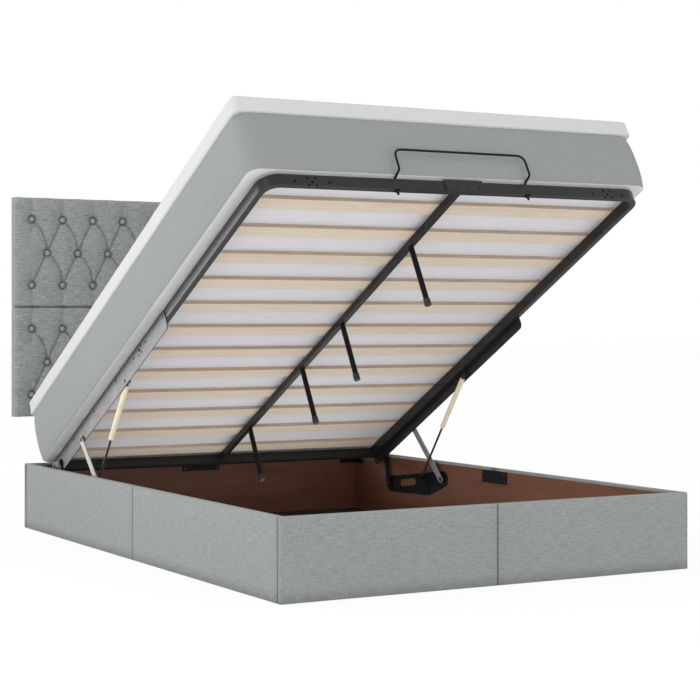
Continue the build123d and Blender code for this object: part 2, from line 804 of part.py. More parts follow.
level_nodes = {}
level_nodes["frame_tube_front_right"] = front_tube()
level_nodes["frame_tube_front_left"] = mirror_x(front_tube())
level_nodes["frame_tube_rear_right"] = rear_tube()
level_nodes["frame_tube_rear_left"] = mirror_x(rear_tube())
level_nodes["frame_tube_head"] = head_tube()
level_nodes["centre_beam"] = centre_beam()
level_nodes["slats"] = group(slats())
leg_tubes, leg_caps = legs()
level_nodes["centre_legs"] = group(leg_tubes)
level_nodes["leg_caps"] = group(leg_caps)
joint_plate, frame_heads = foot_plate()
level_nodes["foot_joint_plate"] = joint_plate
side_heads = lift_bolts()
level_nodes["frame_bolts"] = group(frame_heads + side_heads + [mirror_x(head) for head in side_heads])
level_nodes["retainer_bar"] = retainer_bar()
level_nodes["retainer_lugs"] = group([retainer_lug(), mirror_x(retainer_lug())])
level_nodes["retainer_nuts"] = group([retainer_nut(), mirror_x(retainer_nut())])
level_nodes["lift_plates"] = group([lift_plate(), mirror_x(lift_plate())])
pins = platform_pins()
level_nodes["platform_pivot_pins"] = group(pins + [mirror_x(part) for part in pins])
level_nodes["mattress"] = mattress()
level_nodes["topper"] = topper()
for name, part in level_nodes.items():
    nodes[name] = raised * part

for name, part in (("front_link", front_link()), ("rear_link", rear_link()), ("gas_cylinder", gas_cylinder()),
                   ("gas_rod", gas_rod())):
    nodes[name + "_right"] = part
    nodes[name + "_left"] = mirror_x(part)

nodes["gas_top_eyes"] = group([gas_top_eye(), mirror_x(gas_top_eye())])

to_origin = Pos(0, -origin_y, 0)
os.makedirs("parts", exist_ok=True)
for name, part in nodes.items():
    export_step(to_origin * part, f"parts/{name}.step")

# Closed places of the joints, for the record of how it moves
front_swing = turned(front_base, on_platform(front_pivot_reach, -front_pivot_drop)) - turned(front_base, front_top)
rear_swing = turned(rear_base, on_platform(rear_pivot_reach, -rear_pivot_drop)) - turned(rear_base, rear_top)
gas_closed = on_platform(gas_pivot_reach, -gas_pivot_drop)
gas_swing = turned(gas_closed, gas_base) - turned(gas_top, gas_base)
gas_stroke = gas_open_length - hypot(gas_base[0] - gas_closed[0], gas_base[1] - gas_closed[1])
print("nodes", len(nodes))
for label, place in (("front_base", front_base), ("front_top", front_top), ("rear_base", rear_base),
                     ("rear_top", rear_top), ("gas_top", gas_top), ("gas_base", gas_base)):
    print(label, round(place[0] - origin_y, 3), round(place[1], 3))
print("front_swing", front_swing, "rear_swing", rear_swing)
print("gas_swing", gas_swing, "gas_stroke", gas_stroke, "origin_y", origin_y)
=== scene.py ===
# %% [markdown]
# An upholstered storage bed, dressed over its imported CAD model.
# The rigid frame, boards and lift fittings are CAD solids that only need finishes.
# The mattress, topper, headboard cushions and fabric covers are soft, so they are rebuilt here as real
# soft forms. Everything is in metres, +X right seen from the foot, +Y to the head, +Z up.

# %% Load the frame
import math
import bmesh
import bpy
import numpy as np
from mathutils import Matrix, Vector, noise


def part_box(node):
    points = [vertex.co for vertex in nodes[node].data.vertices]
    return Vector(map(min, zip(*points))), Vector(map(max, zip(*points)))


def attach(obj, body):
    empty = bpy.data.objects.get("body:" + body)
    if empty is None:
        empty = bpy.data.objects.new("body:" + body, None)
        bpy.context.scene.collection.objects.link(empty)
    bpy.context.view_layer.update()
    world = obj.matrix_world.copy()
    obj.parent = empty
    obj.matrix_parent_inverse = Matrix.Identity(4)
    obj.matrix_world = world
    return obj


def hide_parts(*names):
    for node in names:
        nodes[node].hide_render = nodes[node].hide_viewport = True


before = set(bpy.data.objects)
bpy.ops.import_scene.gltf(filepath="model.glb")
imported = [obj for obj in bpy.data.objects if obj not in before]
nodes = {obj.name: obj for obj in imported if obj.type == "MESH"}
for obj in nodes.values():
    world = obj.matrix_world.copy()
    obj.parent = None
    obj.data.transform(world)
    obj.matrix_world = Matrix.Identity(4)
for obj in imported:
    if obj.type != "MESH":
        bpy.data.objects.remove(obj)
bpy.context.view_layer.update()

# %% [markdown]
# The camera comes first. Its place and lens were fitted to the bed's edges in the photograph: it stands
# low, to the left of the foot end, and keeps level, so that upright edges stay upright. A small shift
# lowers the view instead of tilting it.

# %% Camera
CAMERA_PLACE = (-2.976, -5.452, 0.788)
CAMERA_PAN = -29.58
VIEW_SHIFT = -0.0459
FOCAL_LENGTH, SENSOR_WIDTH = 92.0, 36
FURTHEST_SEEN = 200

lens = bpy.data.cameras.new("camera")
camera = bpy.data.objects.new("camera", lens)
bpy.context.scene.collection.objects.link(camera)
bpy.context.scene.camera = camera
camera.location = CAMERA_PLACE
camera.rotation_euler = (math.radians(90), 0, math.radians(CAMERA_PAN))
lens.sensor_width = SENSOR_WIDTH
lens.lens = FOCAL_LENGTH
lens.shift_y = VIEW_SHIFT
lens.clip_end = FURTHEST_SEEN
print("camera", tuple(round(v, 3) for v in camera.location))

# %% [markdown]
# The platform with the mattress is drawn level first, with its lower head edge on the X axis and its
# foot towards -Y, and then tipped into its raised place. One matrix does that for every piece on it.

# %% Platform place
TILT = math.radians(29)
HEAD_EDGE = (0, 0.842, 0.249)
MATTRESS = {"width": 1.45, "length": 1.998, "height": 0.194}
raised = Matrix.Translation(HEAD_EDGE) @ Matrix.Rotation(-TILT, 4, "X")
print("raised foot edge", [round(v, 3) for v in raised @ Vector((0, -MATTRESS["length"], 0))])

# %% [markdown]
# Shader maths reads best as plain maths. The small class below wraps a socket, so that `mask * 2 + 1`
# adds the Math nodes for it, and the Finish class makes every other node from its type, its settings
# and its inputs.

# %% Shader helpers
MIX_FIRST, MIX_SECOND, MIX_RESULT = 6, 7, 2
ATTRIBUTE_VALUE = 2
NOISE_MIDDLE = 0.5


class Wire:
    """An output socket that can be used in ordinary maths."""

    def __init__(self, finish, socket):
        self.finish = finish
        self.socket = socket

    def maths(self, operation, first, second):
        return self.finish.node("ShaderNodeMath", {"operation": operation}, {0: first, 1: second})

    def __add__(self, other):
        return self.maths("ADD", self, other)

    def __sub__(self, other):
        return self.maths("SUBTRACT", self, other)

    def __rsub__(self, other):
        return self.maths("SUBTRACT", other, self)

    def __mul__(self, other):
        return self.maths("MULTIPLY", self, other)

    def __gt__(self, other):
        return self.maths("GREATER_THAN", self, other)

    __radd__ = __add__
    __rmul__ = __mul__


class Finish:
    """A material with one shader and the nodes that drive it."""

    def __init__(self, name):
        self.material = bpy.data.materials.new(name)
        self.material.use_nodes = True
        self.tree = self.material.node_tree
        self.shader = self.tree.nodes["Principled BSDF"]

    def node(self, kind, settings=None, inputs=None, output=0):
        made = self.tree.nodes.new(kind)
        for key, value in (settings or {}).items():
            if key == "stops":
                for stop, (place, colour) in zip(self.stops(made, len(value)), value):
                    stop.position = place
                    stop.color = colour
            else:
                setattr(made, key, value)
        for key, value in (inputs or {}).items():
            self.join(value, made.inputs[key])
        return Wire(self, made.outputs[output])

    def stops(self, made, count):
        ramp = made.color_ramp.elements
        while len(ramp) < count:
            ramp.new(1.0)
        return list(ramp)

    def join(self, value, socket):
        if isinstance(value, Wire):
            self.tree.links.new(value.socket, socket)
        else:
            socket.default_value = value

    def set(self, **inputs):
        for key, value in inputs.items():
            self.join(value, self.shader.inputs[key.replace("_", " ")])

    def place(self, turn=0.0, stretch=(1, 1, 1)):
        """Object coordinates, turned about X and stretched."""
        spot = self.node("ShaderNodeTexCoord", output="Object")
        turned = self.node("ShaderNodeMapping", {}, {"Vector": spot, "Rotation": (turn, 0, 0)})
        return self.node("ShaderNodeMapping", {}, {"Vector": turned, "Scale": stretch})

    def noise(self, vector, scale, detail=3.0, rough=0.5):
        return self.node("ShaderNodeTexNoise", {}, {"Vector": vector, "Scale": scale, "Detail": detail,
                                                    "Roughness": rough})

    def blend(self, share, first, second):
        inputs = {"Factor": share, MIX_FIRST: first, MIX_SECOND: second}
        return self.node("ShaderNodeMix", {"data_type": "RGBA", "blend_type": "MIX"}, inputs, MIX_RESULT)

    def bump(self, height, distance, strength):
        inputs = {"Height": height, "Distance": distance, "Strength": strength}
        return self.node("ShaderNodeBump", {}, inputs)

    def function(self, operation, value):
        """One-sided maths, such as a sine."""
        return self.node("ShaderNodeMath", {"operation": operation}, {0: value})

    def along(self, vector, axis):
        """One coordinate of a vector."""
        return self.node("ShaderNodeSeparateXYZ", {}, {0: vector}, axis)

    def facing(self):
        """The surface's direction in the object's own axes."""
        return self.node("ShaderNodeTexCoord", output="Normal")

    def turned_facing(self, turn):
        """The surface's direction, turned about X."""
        inputs = {"Vector": self.facing(), "Rotation": (turn, 0, 0)}
        return self.node("ShaderNodeMapping", {"vector_type": "NORMAL"}, inputs)


def paint(red, green, blue):
    """A colour written as 0 to 255 picture values."""
    values = [v / 255 for v in (red, green, blue)]
    return [v / 12.92 if v <= 0.04045 else ((v + 0.055) / 1.055) ** 2.4 for v in values] + [1.0]


def scaled(colour, factor, lift=0.0):
    """A colour made paler or darker by a factor."""
    return [min(1.0, c * factor + lift) for c in colour[:3]] + [1.0]


print("shader helpers ready")

# %% [markdown]
# The bed's cover is a heathered plain weave: pale and dark yarns of uneven thickness cross at right
# angles. Long stretched noise along each yarn direction gives the slubs, a fine grid of waves gives the
# weave itself, and broad soft noise keeps a large face from looking printed. The face's own direction
# picks the two coordinates, so that the weave lies flat on every side.

# %% Woven grey fabric
FACES_UP, FACES_BACK = 0.75, 0.7
WEFT = {"stretch": 30, "seed": 3.0, "share": 1.15}
WARP = {"stretch": 42, "seed": 11.0, "share": 0.8}
YARN_DETAIL, YARN_ROUGH = 2.0, 0.6
CLOUD_SCALE, CLOUD_SHARE = 5.0, 0.1
YARN_SPREAD = 0.36
DARK_STOP, PALE_STOP = 0.12, 0.88
CREASE_SHADE = 0.22
THREAD_WAVES = 4200
WEAVE_ROUGHNESS, WEFT_POLISH = 0.92, 0.06
WEAVE_DEPTH, WEAVE_STRENGTH = 0.0004, 0.7


def weave_plane(finish, turn):
    """Two coordinates along a face, from object coordinates and the face's direction."""
    spot = finish.place(turn)
    facing = finish.turned_facing(turn)
    x, y, z = (finish.along(spot, n) for n in range(3))
    flat = finish.function("ABSOLUTE", finish.along(facing, 2)) > FACES_UP
    across = x + y * (1 - flat)
    up = z * (1 - flat) + y * flat
    return across, up


def woven(name, colour, turn=0.0, contrast=1.0, with_painted_shade=False, lining=None, yarn=560):
    """Heathered plain weave, with painted shade read from a mesh attribute where asked, or with a plain
    lining on faces turned to +Y.
    """
    finish = Finish(name)
    across, up = weave_plane(finish, turn)

    def yarns(along, cross, seed):
        inputs = {"X": along, "Y": cross, "Z": seed}
        return finish.noise(finish.node("ShaderNodeCombineXYZ", {}, inputs), 1.0, YARN_DETAIL, YARN_ROUGH)

    weft = yarns(across * WEFT["stretch"], up * yarn, WEFT["seed"])
    warp = yarns(across * yarn, up * WARP["stretch"], WARP["seed"])
    broad = finish.noise(finish.place(turn), CLOUD_SCALE, YARN_DETAIL)
    tone = (weft - NOISE_MIDDLE) * WEFT["share"] + (warp - NOISE_MIDDLE) * WARP["share"]
    tone = tone + (broad - NOISE_MIDDLE) * CLOUD_SHARE
    dark = scaled(colour, 1 - YARN_SPREAD * contrast)
    pale = scaled(colour, 1 + YARN_SPREAD * contrast)
    ramp = {"stops": [(DARK_STOP, dark), (NOISE_MIDDLE, colour), (PALE_STOP, pale)]}
    shade = finish.node("ShaderNodeValToRGB", ramp, {0: tone + NOISE_MIDDLE})
    if with_painted_shade:
        # Painted shade: the attribute darkens the colour in folds, seams and the edges where panels meet, as
        # shadow would.
        crease = finish.node("ShaderNodeAttribute", {"attribute_name": "crease"}, output=ATTRIBUTE_VALUE)
        shade = finish.blend(crease, shade, scaled(colour, CREASE_SHADE))
    if lining:
        behind = finish.along(finish.facing(), 1) > FACES_BACK
        shade = finish.blend(behind, shade, lining)
    over = finish.function("SINE", across * THREAD_WAVES)
    under = finish.function("SINE", up * THREAD_WAVES)
    height = over * under * 0.5 + weft + warp
    finish.set(Base_Color=shade, Roughness=WEAVE_ROUGHNESS - WEFT_POLISH * contrast * weft)
    finish.set(Normal=finish.bump(height, WEAVE_DEPTH, WEAVE_STRENGTH))
    finish.set(Sheen_Weight=0.15, Sheen_Roughness=0.5, Specular_IOR_Level=0.25)
    return finish.material


grey_fabric = woven("grey_weave", paint(150, 154, 152), contrast=0.66, with_painted_shade=True, yarn=300)
cushion_fabric = woven("cushion_weave", paint(154, 158, 156), contrast=1.2, with_painted_shade=True, yarn=300)
wrap_fabric = woven("panel_wrap_weave", paint(147, 151, 149), contrast=1.0, lining=paint(46, 45, 45))
border_fabric = woven("border_weave", paint(150, 154, 152), turn=TILT, contrast=0.3)
print("fabrics", grey_fabric.name, cushion_fabric.name, wrap_fabric.name, border_fabric.name)

# %% [markdown]
# The topper and the underside of the mattress are pale knits. A knit is softer and finer than the
# cover's weave, so it gets small rounded cells and a faint cloudy tone.

# %% Pale knits
CELL_SCALE, CELL_SHARE, CELL_SHADE = 420.0, 0.6, 0.9
KNIT_CLOUD, KNIT_SHADOW = 9.0, 0.93
KNIT_ROUGHNESS, KNIT_UNEVEN = 0.88, 0.08
KNIT_DEPTH, KNIT_STRENGTH = 0.0005, 0.6


def knit(name, colour, turn=0.0):
    """Fine pale knit."""
    finish = Finish(name)
    spot = finish.place(turn)
    cells = finish.node("ShaderNodeTexVoronoi", {}, {"Vector": spot, "Scale": CELL_SCALE})
    cloud = finish.noise(spot, KNIT_CLOUD)
    shade = finish.blend(cloud, scaled(colour, KNIT_SHADOW), colour)
    shade = finish.blend(cells * CELL_SHARE, shade, scaled(colour, CELL_SHADE))
    finish.set(Base_Color=shade, Roughness=KNIT_ROUGHNESS + KNIT_UNEVEN * cloud)
    finish.set(Normal=finish.bump(1 - cells, KNIT_DEPTH, KNIT_STRENGTH))
    finish.set(Sheen_Weight=0.1, Specular_IOR_Level=0.25)
    return finish.material


topper_knit = knit("topper_knit", paint(217, 217, 218), TILT)
base_ticking = knit("mattress_underside_ticking", paint(236, 235, 239), TILT)
print("knits", topper_knit.name, base_ticking.name)

# %% [markdown]
# Wood needs its grain along the piece. The slats and the struts run along different directions, so the
# stretch is a setting. Slow noise bends the grain, fast noise along one direction draws it, and a few
# darker pores break the gloss.

# %% Wood
BEND_SCALE, LINE_SCALE, PORE_SCALE = 0.35, 5.0, 22.0
LINE_DETAIL, LINE_ROUGH = 5.0, 0.65
LINE_SHARE, BEND_SHARE = 0.65, 0.35
GRAIN_STOPS = (0.3, 0.52, 0.75)
PALE_GRAIN = 1.08
PORE_LIMIT, PORE_SHARE = 0.66, 0.25
FACES_SIDEWAYS = 0.7
GRAIN_UNEVEN = 0.2
GRAIN_DEPTH, GRAIN_STRENGTH = 0.0006, 0.35


def grain(name, colour, dark, stretch, turn=0.0, roughness=0.55, edge_ply_and_shade=None):
    """Wood whose grain runs along the least stretched direction, with darker edge faces if an edge colour is
    given: ply colour darkened with painted shade.
    """
    finish = Finish(name)
    spot = finish.place(turn, stretch)
    slow = finish.noise(spot, BEND_SCALE, 2.0)
    lines = finish.noise(spot, LINE_SCALE, LINE_DETAIL, LINE_ROUGH)
    pores = finish.noise(spot, PORE_SCALE, 2.0)
    tone = lines * LINE_SHARE + slow * BEND_SHARE
    ramp = {"stops": list(zip(GRAIN_STOPS, (dark, colour, scaled(colour, PALE_GRAIN))))}
    shade = finish.node("ShaderNodeValToRGB", ramp, {0: tone})
    shade = finish.blend((pores > PORE_LIMIT) * PORE_SHARE, shade, dark)
    # Painted shade: faces turned along Y take the edge colour, partly the plies of a cut edge and partly
    # painted shade for the shadow on the slats' narrow edges.
    if edge_ply_and_shade:
        side = finish.function("ABSOLUTE", finish.along(finish.turned_facing(turn), 1)) > FACES_SIDEWAYS
        plies_and_shade = finish.blend(lines, edge_ply_and_shade, dark)
        shade = finish.blend(side, shade, plies_and_shade)
    finish.set(Base_Color=shade, Roughness=roughness + GRAIN_UNEVEN * (lines - NOISE_MIDDLE))
    finish.set(Normal=finish.bump(lines, GRAIN_DEPTH, GRAIN_STRENGTH))
    finish.set(Specular_IOR_Level=0.35)
    return finish.material


# The slats' edge colour is plywood plies with painted shade.
slat_wood = grain("slat_birch", paint(233, 217, 199), paint(218, 198, 176), (1.6, 30, 30), TILT,
                  edge_ply_and_shade=paint(138, 112, 90))
board_wood = grain("inner_board_brown", paint(112, 70, 50), paint(72, 40, 28), (14, 14, 70), roughness=0.6)
strut_wood = grain("strut_pine", paint(200, 168, 124), paint(160, 120, 78), (26, 26, 2.0))
print("woods", slat_wood.name, board_wood.name, strut_wood.name)

# %% [markdown]
# The platform frame is powder-coated steel: almost black, with a very fine orange peel and a satin
# gloss that turns bright where it is seen at a grazing angle. Screws are bare blackened steel, the front
# links are pale zinc, and the gas springs are painted cream, with black rods.

# %% Metal, board and plastic finishes
PEEL_SCALE, PATCH_SCALE = 900.0, 24.0
PATCH_DETAIL, PATCH_ROUGH = 4.0, 0.6
WORN_LIFT = 0.004
PATCH_UNEVEN, PEEL_STRENGTH = 0.16, 0.5


def coated(name, colour, roughness, peel, metal=0.0, scuff=0.25, gloss=0.5):
    """Powder coat, paint or bare metal with worn, slightly uneven gloss."""
    finish = Finish(name)
    spot = finish.place()
    fine = finish.noise(spot, PEEL_SCALE, 2.0)
    patch = finish.noise(spot, PATCH_SCALE, PATCH_DETAIL, PATCH_ROUGH)
    worn = scaled(colour, 1 + scuff, WORN_LIFT)
    finish.set(Base_Color=finish.blend(patch, colour, worn), Metallic=metal)
    finish.set(Roughness=roughness + PATCH_UNEVEN * (patch - NOISE_MIDDLE))
    finish.set(Normal=finish.bump(fine, peel, PEEL_STRENGTH), Specular_IOR_Level=gloss)
    return finish.material


frame_coat = coated("frame_powder_coat", paint(32, 31, 31), 0.3, 0.0001, gloss=0.25)
fitting_coat = coated("fitting_black_coat", paint(15, 15, 16), 0.45, 0.0001, gloss=0.12)
screw_steel = coated("blackened_screw_steel", paint(34, 34, 34), 0.4, 0.0001, metal=0.3, scuff=0.5)
link_steel = coated("zinc_link_steel", paint(150, 150, 150), 0.5, 0.0001, metal=0.5, scuff=0.08)
cylinder_paint = coated("gas_cylinder_cream", paint(232, 222, 190), 0.36, 0.00015, scuff=0.04)
rod_steel = coated("gas_rod_black", paint(36, 36, 37), 0.22, 0.00005, metal=0.6)
hardboard = coated("storage_floor_hardboard", paint(38, 35, 34), 0.55, 0.0006)
# Matt black for the domes that paint the shade inside the frame's holes.
hole_shade_black = coated("painted_hole_shade_black", paint(12, 12, 12), 0.85, 0.0001, gloss=0.03)
cap_plastic = coated("black_cap_plastic", paint(26, 26, 27), 0.5, 0.0004)
print("finishes for metal, board and plastic made")

# %% [markdown]
# Each CAD node keeps its mesh and is given a finish by name.

# %% Finishes on the CAD nodes
def give(material, *names):
    """Put one material on every slot of the named CAD nodes."""
    for name in names:
        node = nodes[name]
        if not node.data.materials:
            node.data.materials.append(material)
        for slot in node.material_slots:
            slot.material = material


sides = ("right", "left")
ends = ("front", "rear")
give(board_wood, *[f"side_board_{s}_{e}" for s in sides for e in ends])
give(board_wood, *[f"{e}_board_{s}" for e in ("foot", "head") for s in sides])
give(hardboard, "storage_floor_front", "storage_floor_rear")
give(cap_plastic, "glides", "leg_caps", "gas_top_eyes")
give(fitting_coat, "joiner_plates", "corner_brackets", "base_plates", "gas_brackets",
     "retainer_lugs", "centre_legs", "rear_link_right", "rear_link_left")
give(screw_steel, "panel_screws", "base_pivot_pins", "headboard_bolts", "frame_bolts", "platform_pivot_pins",
     "retainer_nuts")
give(wrap_fabric, "headboard_boards")
give(strut_wood, "headboard_struts", "headboard_spacers")
give(frame_coat, *[f"frame_tube_{e}_{s}" for s in sides for e in ends], "frame_tube_head", "centre_beam",
     "lift_plates", "foot_joint_plate")
give(slat_wood, "slats")
give(link_steel, "front_link_right", "front_link_left")
give(cylinder_paint, *[f"gas_cylinder_{s}" for s in sides])
give(rod_steel, *[f"gas_rod_{s}" for s in sides])
print("CAD nodes finished")

# %% [markdown]
# New pieces all end the same way: the shaped bmesh becomes an object at the origin, takes its finishes
# as material slots, rides on its body and stands for its CAD node.

# %% Turn a bmesh into a piece
CUT_TOLERANCE = 1e-6
MATCH = 1e-5
CORNER_STEPS, EDGE_STEPS = 8, 3


def piece(name, shape, body, materials, stands_for=()):
    """Object from a bmesh, with its finishes, its body and the CAD nodes that it replaces."""
    mesh = bpy.data.meshes.new(name)
    shape.to_mesh(mesh)
    shape.free()
    made = bpy.data.objects.new(name, mesh)
    bpy.context.scene.collection.objects.link(made)
    for finish in materials:
        mesh.materials.append(finish)
    for face in mesh.polygons:
        face.use_smooth = True
    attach(made, body)
    if stands_for:
        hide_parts(*stands_for)
    print(name, len(mesh.polygons), "faces")
    return made


def bevel(shape, edges, offset, steps):
    """Round edges of a bmesh."""
    bmesh.ops.bevel(shape, geom=edges, offset=offset, offset_type="OFFSET", segments=steps, profile=0.5,
                    affect="EDGES", material=-1)


def slices(shape, axis, low, high, step):
    """Cut loops across a shape at even steps along one axis."""
    count = max(1, round((high - low) / step))
    direction = Vector([float(n == axis) for n in range(3)])
    for n in range(1, count):
        geometry = shape.verts[:] + shape.edges[:] + shape.faces[:]
        place = direction * (low + (high - low) * n / count)
        bmesh.ops.bisect_plane(shape, geom=geometry, dist=CUT_TOLERANCE, plane_co=place, plane_no=direction)


def rounded_block(low, high, corner, edge):
    """Block with rounded upright corners and softer rounded top and bottom edges."""
    shape = bmesh.new()
    bmesh.ops.create_cube(shape, size=1.0)
    size = [b - a for a, b in zip(low, high)]
    middle = [(a + b) / 2 for a, b in zip(low, high)]
    bmesh.ops.scale(shape, vec=size, verts=shape.verts)
    bmesh.ops.translate(shape, vec=middle, verts=shape.verts)
    bevel(shape, [e for e in shape.edges if abs(e.verts[0].co.z - e.verts[1].co.z) > size[2] / 2],
          corner, CORNER_STEPS)
    bevel(shape, [e for e in shape.edges if abs(e.verts[0].co.z - e.verts[1].co.z) < CUT_TOLERANCE],
          edge, EDGE_STEPS)
    return shape


def dome(outline, steps):
    """An outline spun about the Y axis, closed at its open end."""
    shape = bmesh.new()
    verts = [shape.verts.new((x, y, 0)) for x, y in outline]
    edges = [shape.edges.new(pair) for pair in zip(verts[:-1], verts[1:])]
    bmesh.ops.spin(shape, geom=verts + edges, cent=(0, 0, 0), axis=(0, 1, 0), angle=math.tau, steps=steps,
                   use_merge=True)
    bmesh.ops.remove_doubles(shape, verts=shape.verts, dist=MATCH)
    bmesh.ops.holes_fill(shape, edges=[e for e in shape.edges if e.is_boundary])
    bmesh.ops.recalc_face_normals(shape, faces=shape.faces)
    return shape


def gather(parts):
    """Several bmeshes in one."""
    whole = bmesh.new()
    for part in parts:
        spare = bpy.data.meshes.new("spare")
        part.to_mesh(spare)
        part.free()
        whole.from_mesh(spare)
        bpy.data.meshes.remove(spare)
    return whole


print("piece helpers ready")

# %% [markdown]
# Padded fabric gets its fullness from a cloth simulation. The shaped mesh goes into a short-lived
# object, the places that are sewn, buttoned or glued down are held by a vertex group, and a light inner
# pressure without gravity swells the rest for twenty frames. No point may move further than a cap, so
# that the pad stays in its place, and the result is written back into the mesh. Nothing is remeshed,
# which would erase the narrow sewn channels: the cushions are even grids, and the mattress and the
# topper are cut into even loops between their denser rounded corners.

# %% Swell a padded shape
CLOTH = {"quality": 3, "mass": 0.3, "tension_stiffness": 12, "compression_stiffness": 12,
         "bending_stiffness": 0.6, "vertex_group_mass": "held", "use_pressure": True,
         "uniform_pressure_force": 4.0}
SWELL_FRAMES = 20
NO_LENGTH = 1e-9


def swell(shape, held, cap):
    """Cloth simulation of a bmesh. Held is one weight a vertex. No vertex moves further than the cap."""
    mesh = bpy.data.meshes.new("swelling")
    shape.to_mesh(mesh)
    pad = bpy.data.objects.new("swelling", mesh)
    bpy.context.scene.collection.objects.link(pad)
    group = pad.vertex_groups.new(name="held")
    for number, weight in enumerate(held):
        group.add([number], weight, "REPLACE")
    cloth = pad.modifiers.new("cloth", "CLOTH")
    for setting, value in CLOTH.items():
        setattr(cloth.settings, setting, value)
    cloth.settings.effector_weights.gravity = 0
    cloth.point_cache.frame_end = SWELL_FRAMES
    for frame_number in range(1, SWELL_FRAMES + 1):
        bpy.context.scene.frame_set(frame_number)
    result = pad.evaluated_get(bpy.context.evaluated_depsgraph_get()).to_mesh()
    furthest = 0.0
    for vert, after in zip(shape.verts, result.vertices):
        move = after.co - vert.co
        furthest = max(furthest, move.length)
        vert.co += move * min(1.0, cap / max(move.length, NO_LENGTH))
    bpy.data.objects.remove(pad)
    bpy.data.meshes.remove(mesh)
    bpy.context.scene.frame_set(1)
    print("swelled by up to", round(furthest * 1000, 1), "mm, capped at", round(cap * 1000, 1), "mm")


# %% [markdown]
# The mattress is a firm block with a woven grey border. Its border swells a little between the two
# sewn edges, where it is drawn in, and its underside is pale ticking that shows between the slats. The
# top face is ticking too. It is cut into even loops so that small dents can be pushed into it.

# %% Mattress
SOFT_STEP, BORDER_LOOPS = 0.05, 6
DRAW_POWER = 2.5
DENT = 0.0012
BROAD_DENTS, FINE_DENTS, FINE_SHARE = 4.5, 14, 0.6
DENT_BASE = 0.6
NEAR_EDGE, EDGE_RISE = 0.9, 10
SWELL_CAP = 0.0015
FREE_BORDER = 0.42
UNDERSIDE_LIFT = 0.0006


def soft_block(low, high, corner, edge, draw, seed):
    """Firm pad drawn level: rounded block with a drawn-in border and small soft dents."""
    shape = rounded_block(low, high, corner, edge)
    for axis in range(2):
        slices(shape, axis, low[axis], high[axis], SOFT_STEP)
    slices(shape, 2, low[2] + edge, high[2] - edge, (high[2] - low[2] - 2 * edge) / BORDER_LOOPS)
    middle = Vector([(a + b) / 2 for a, b in zip(low, high)])
    half = Vector([(b - a) / 2 for a, b in zip(low, high)])
    for vert in shape.verts:
        level = (vert.co.z - middle.z) / half.z
        pull = draw * abs(level) ** DRAW_POWER
        for axis in range(2):
            vert.co[axis] -= pull * ((vert.co[axis] - middle[axis]) / half[axis])
        wave = noise.noise(vert.co * BROAD_DENTS + Vector((seed, 0, 0)))
        wave += FINE_SHARE * noise.noise(vert.co * FINE_DENTS + Vector((0, seed, 0)))
        share = Vector([(vert.co[axis] - middle[axis]) / half[axis] for axis in range(2)])
        for axis in range(2):
            rise = max(0, abs(share[axis]) - NEAR_EDGE) * EDGE_RISE
            vert.co[axis] -= DENT * (DENT_BASE + wave) * share[axis] * rise
    shape.verts.index_update()
    return shape


half_width = MATTRESS["width"] / 2
shape = soft_block((-half_width, -MATTRESS["length"], UNDERSIDE_LIFT), (half_width, 0, MATTRESS["height"]),
                   corner=0.041, edge=0.004, draw=0.0075, seed=3.0)
border = [abs(vert.co.z / MATTRESS["height"] - 0.5) < FREE_BORDER for vert in shape.verts]
swell(shape, [0.0 if free else 1.0 for free in border], SWELL_CAP)
shape.normal_update()
for face in shape.faces:
    face.material_index = 1 if abs(face.normal.z) > 0.8 else 0
shape.transform(raised)
mattress = piece("mattress_body", shape, "platform", [border_fabric, base_ticking],
                 ["mattress"])

# %% [markdown]
# The topper is a thin soft pad with fuller edges and tighter corners than the mattress.

# %% Topper
TOPPER_INSET, TOPPER_LIFT, TOPPER_TOP = 0.001, 0.0004, 0.2498
TOPPER_HELD = 0.02

topper_low = (-half_width + TOPPER_INSET, -MATTRESS["length"] + TOPPER_INSET,
              MATTRESS["height"] + TOPPER_LIFT)
topper_high = (half_width - TOPPER_INSET, -TOPPER_INSET, TOPPER_TOP)
shape = soft_block(topper_low, topper_high, corner=0.02, edge=0.007, draw=0.0, seed=9.0)
held_below = MATTRESS["height"] + TOPPER_HELD
swell(shape, [1.0 if vert.co.z < held_below else 0.0 for vert in shape.verts], SWELL_CAP)
shape.transform(raised)
topper = piece("topper_pad", shape, "platform", [topper_knit], ["topper"])

# %% [markdown]
# Each headboard panel is a thin cushion that is pulled in by buttons on a staggered grid. Sewn pleats
# run between the buttons: the ones that fall to the right are curved, the others almost straight, and
# short straight ones run on to the top and bottom edges. A grid is wrapped round the panel's front
# edges, and each of its points is pressed in by its distance to the nearest pleat and button. The same
# distances give each point its painted shade, dark in the folds and round the buttons, and the sides and
# the edges where two panels meet get painted shade too. The sides run back from the grid's rim, and the
# back is closed once the pad has swelled. One pad is made and copied for the four panels, with less
# painted shade on the free edges at the top and the bottom of the headboard.

# %% Headboard cushion
PANEL = {"width": 0.75, "height": 0.415, "depth": 0.0357, "round": 0.013}
CLEAR = 0.00015
GRID_STEP = 0.0042
BUTTON_ROW_SHARES = (0.2, 0.495, 0.8)
BUTTONS_ACROSS = 6
SIDE_INSET = 0.068
PITCH = (PANEL["width"] - 2 * SIDE_INSET) / (BUTTONS_ACROSS - 1)
CURVED_BOW, STRAIGHT_BOW = 0.016, -0.002
EDGE_OVERRUN = 0.01
TUCK_LEAN, TUCK_LENGTH = 0.004, 0.05
LINE_POINTS = 13
FAR = 1.0


def button_grid():
    """Button places on one panel, row by row."""
    rows = []
    for row, share in enumerate(BUTTON_ROW_SHARES):
        shift = row % 2
        rows.append([(SIDE_INSET + (0.5 * shift + n) * PITCH, share * PANEL["height"])
                     for n in range(BUTTONS_ACROSS - shift)])
    return rows


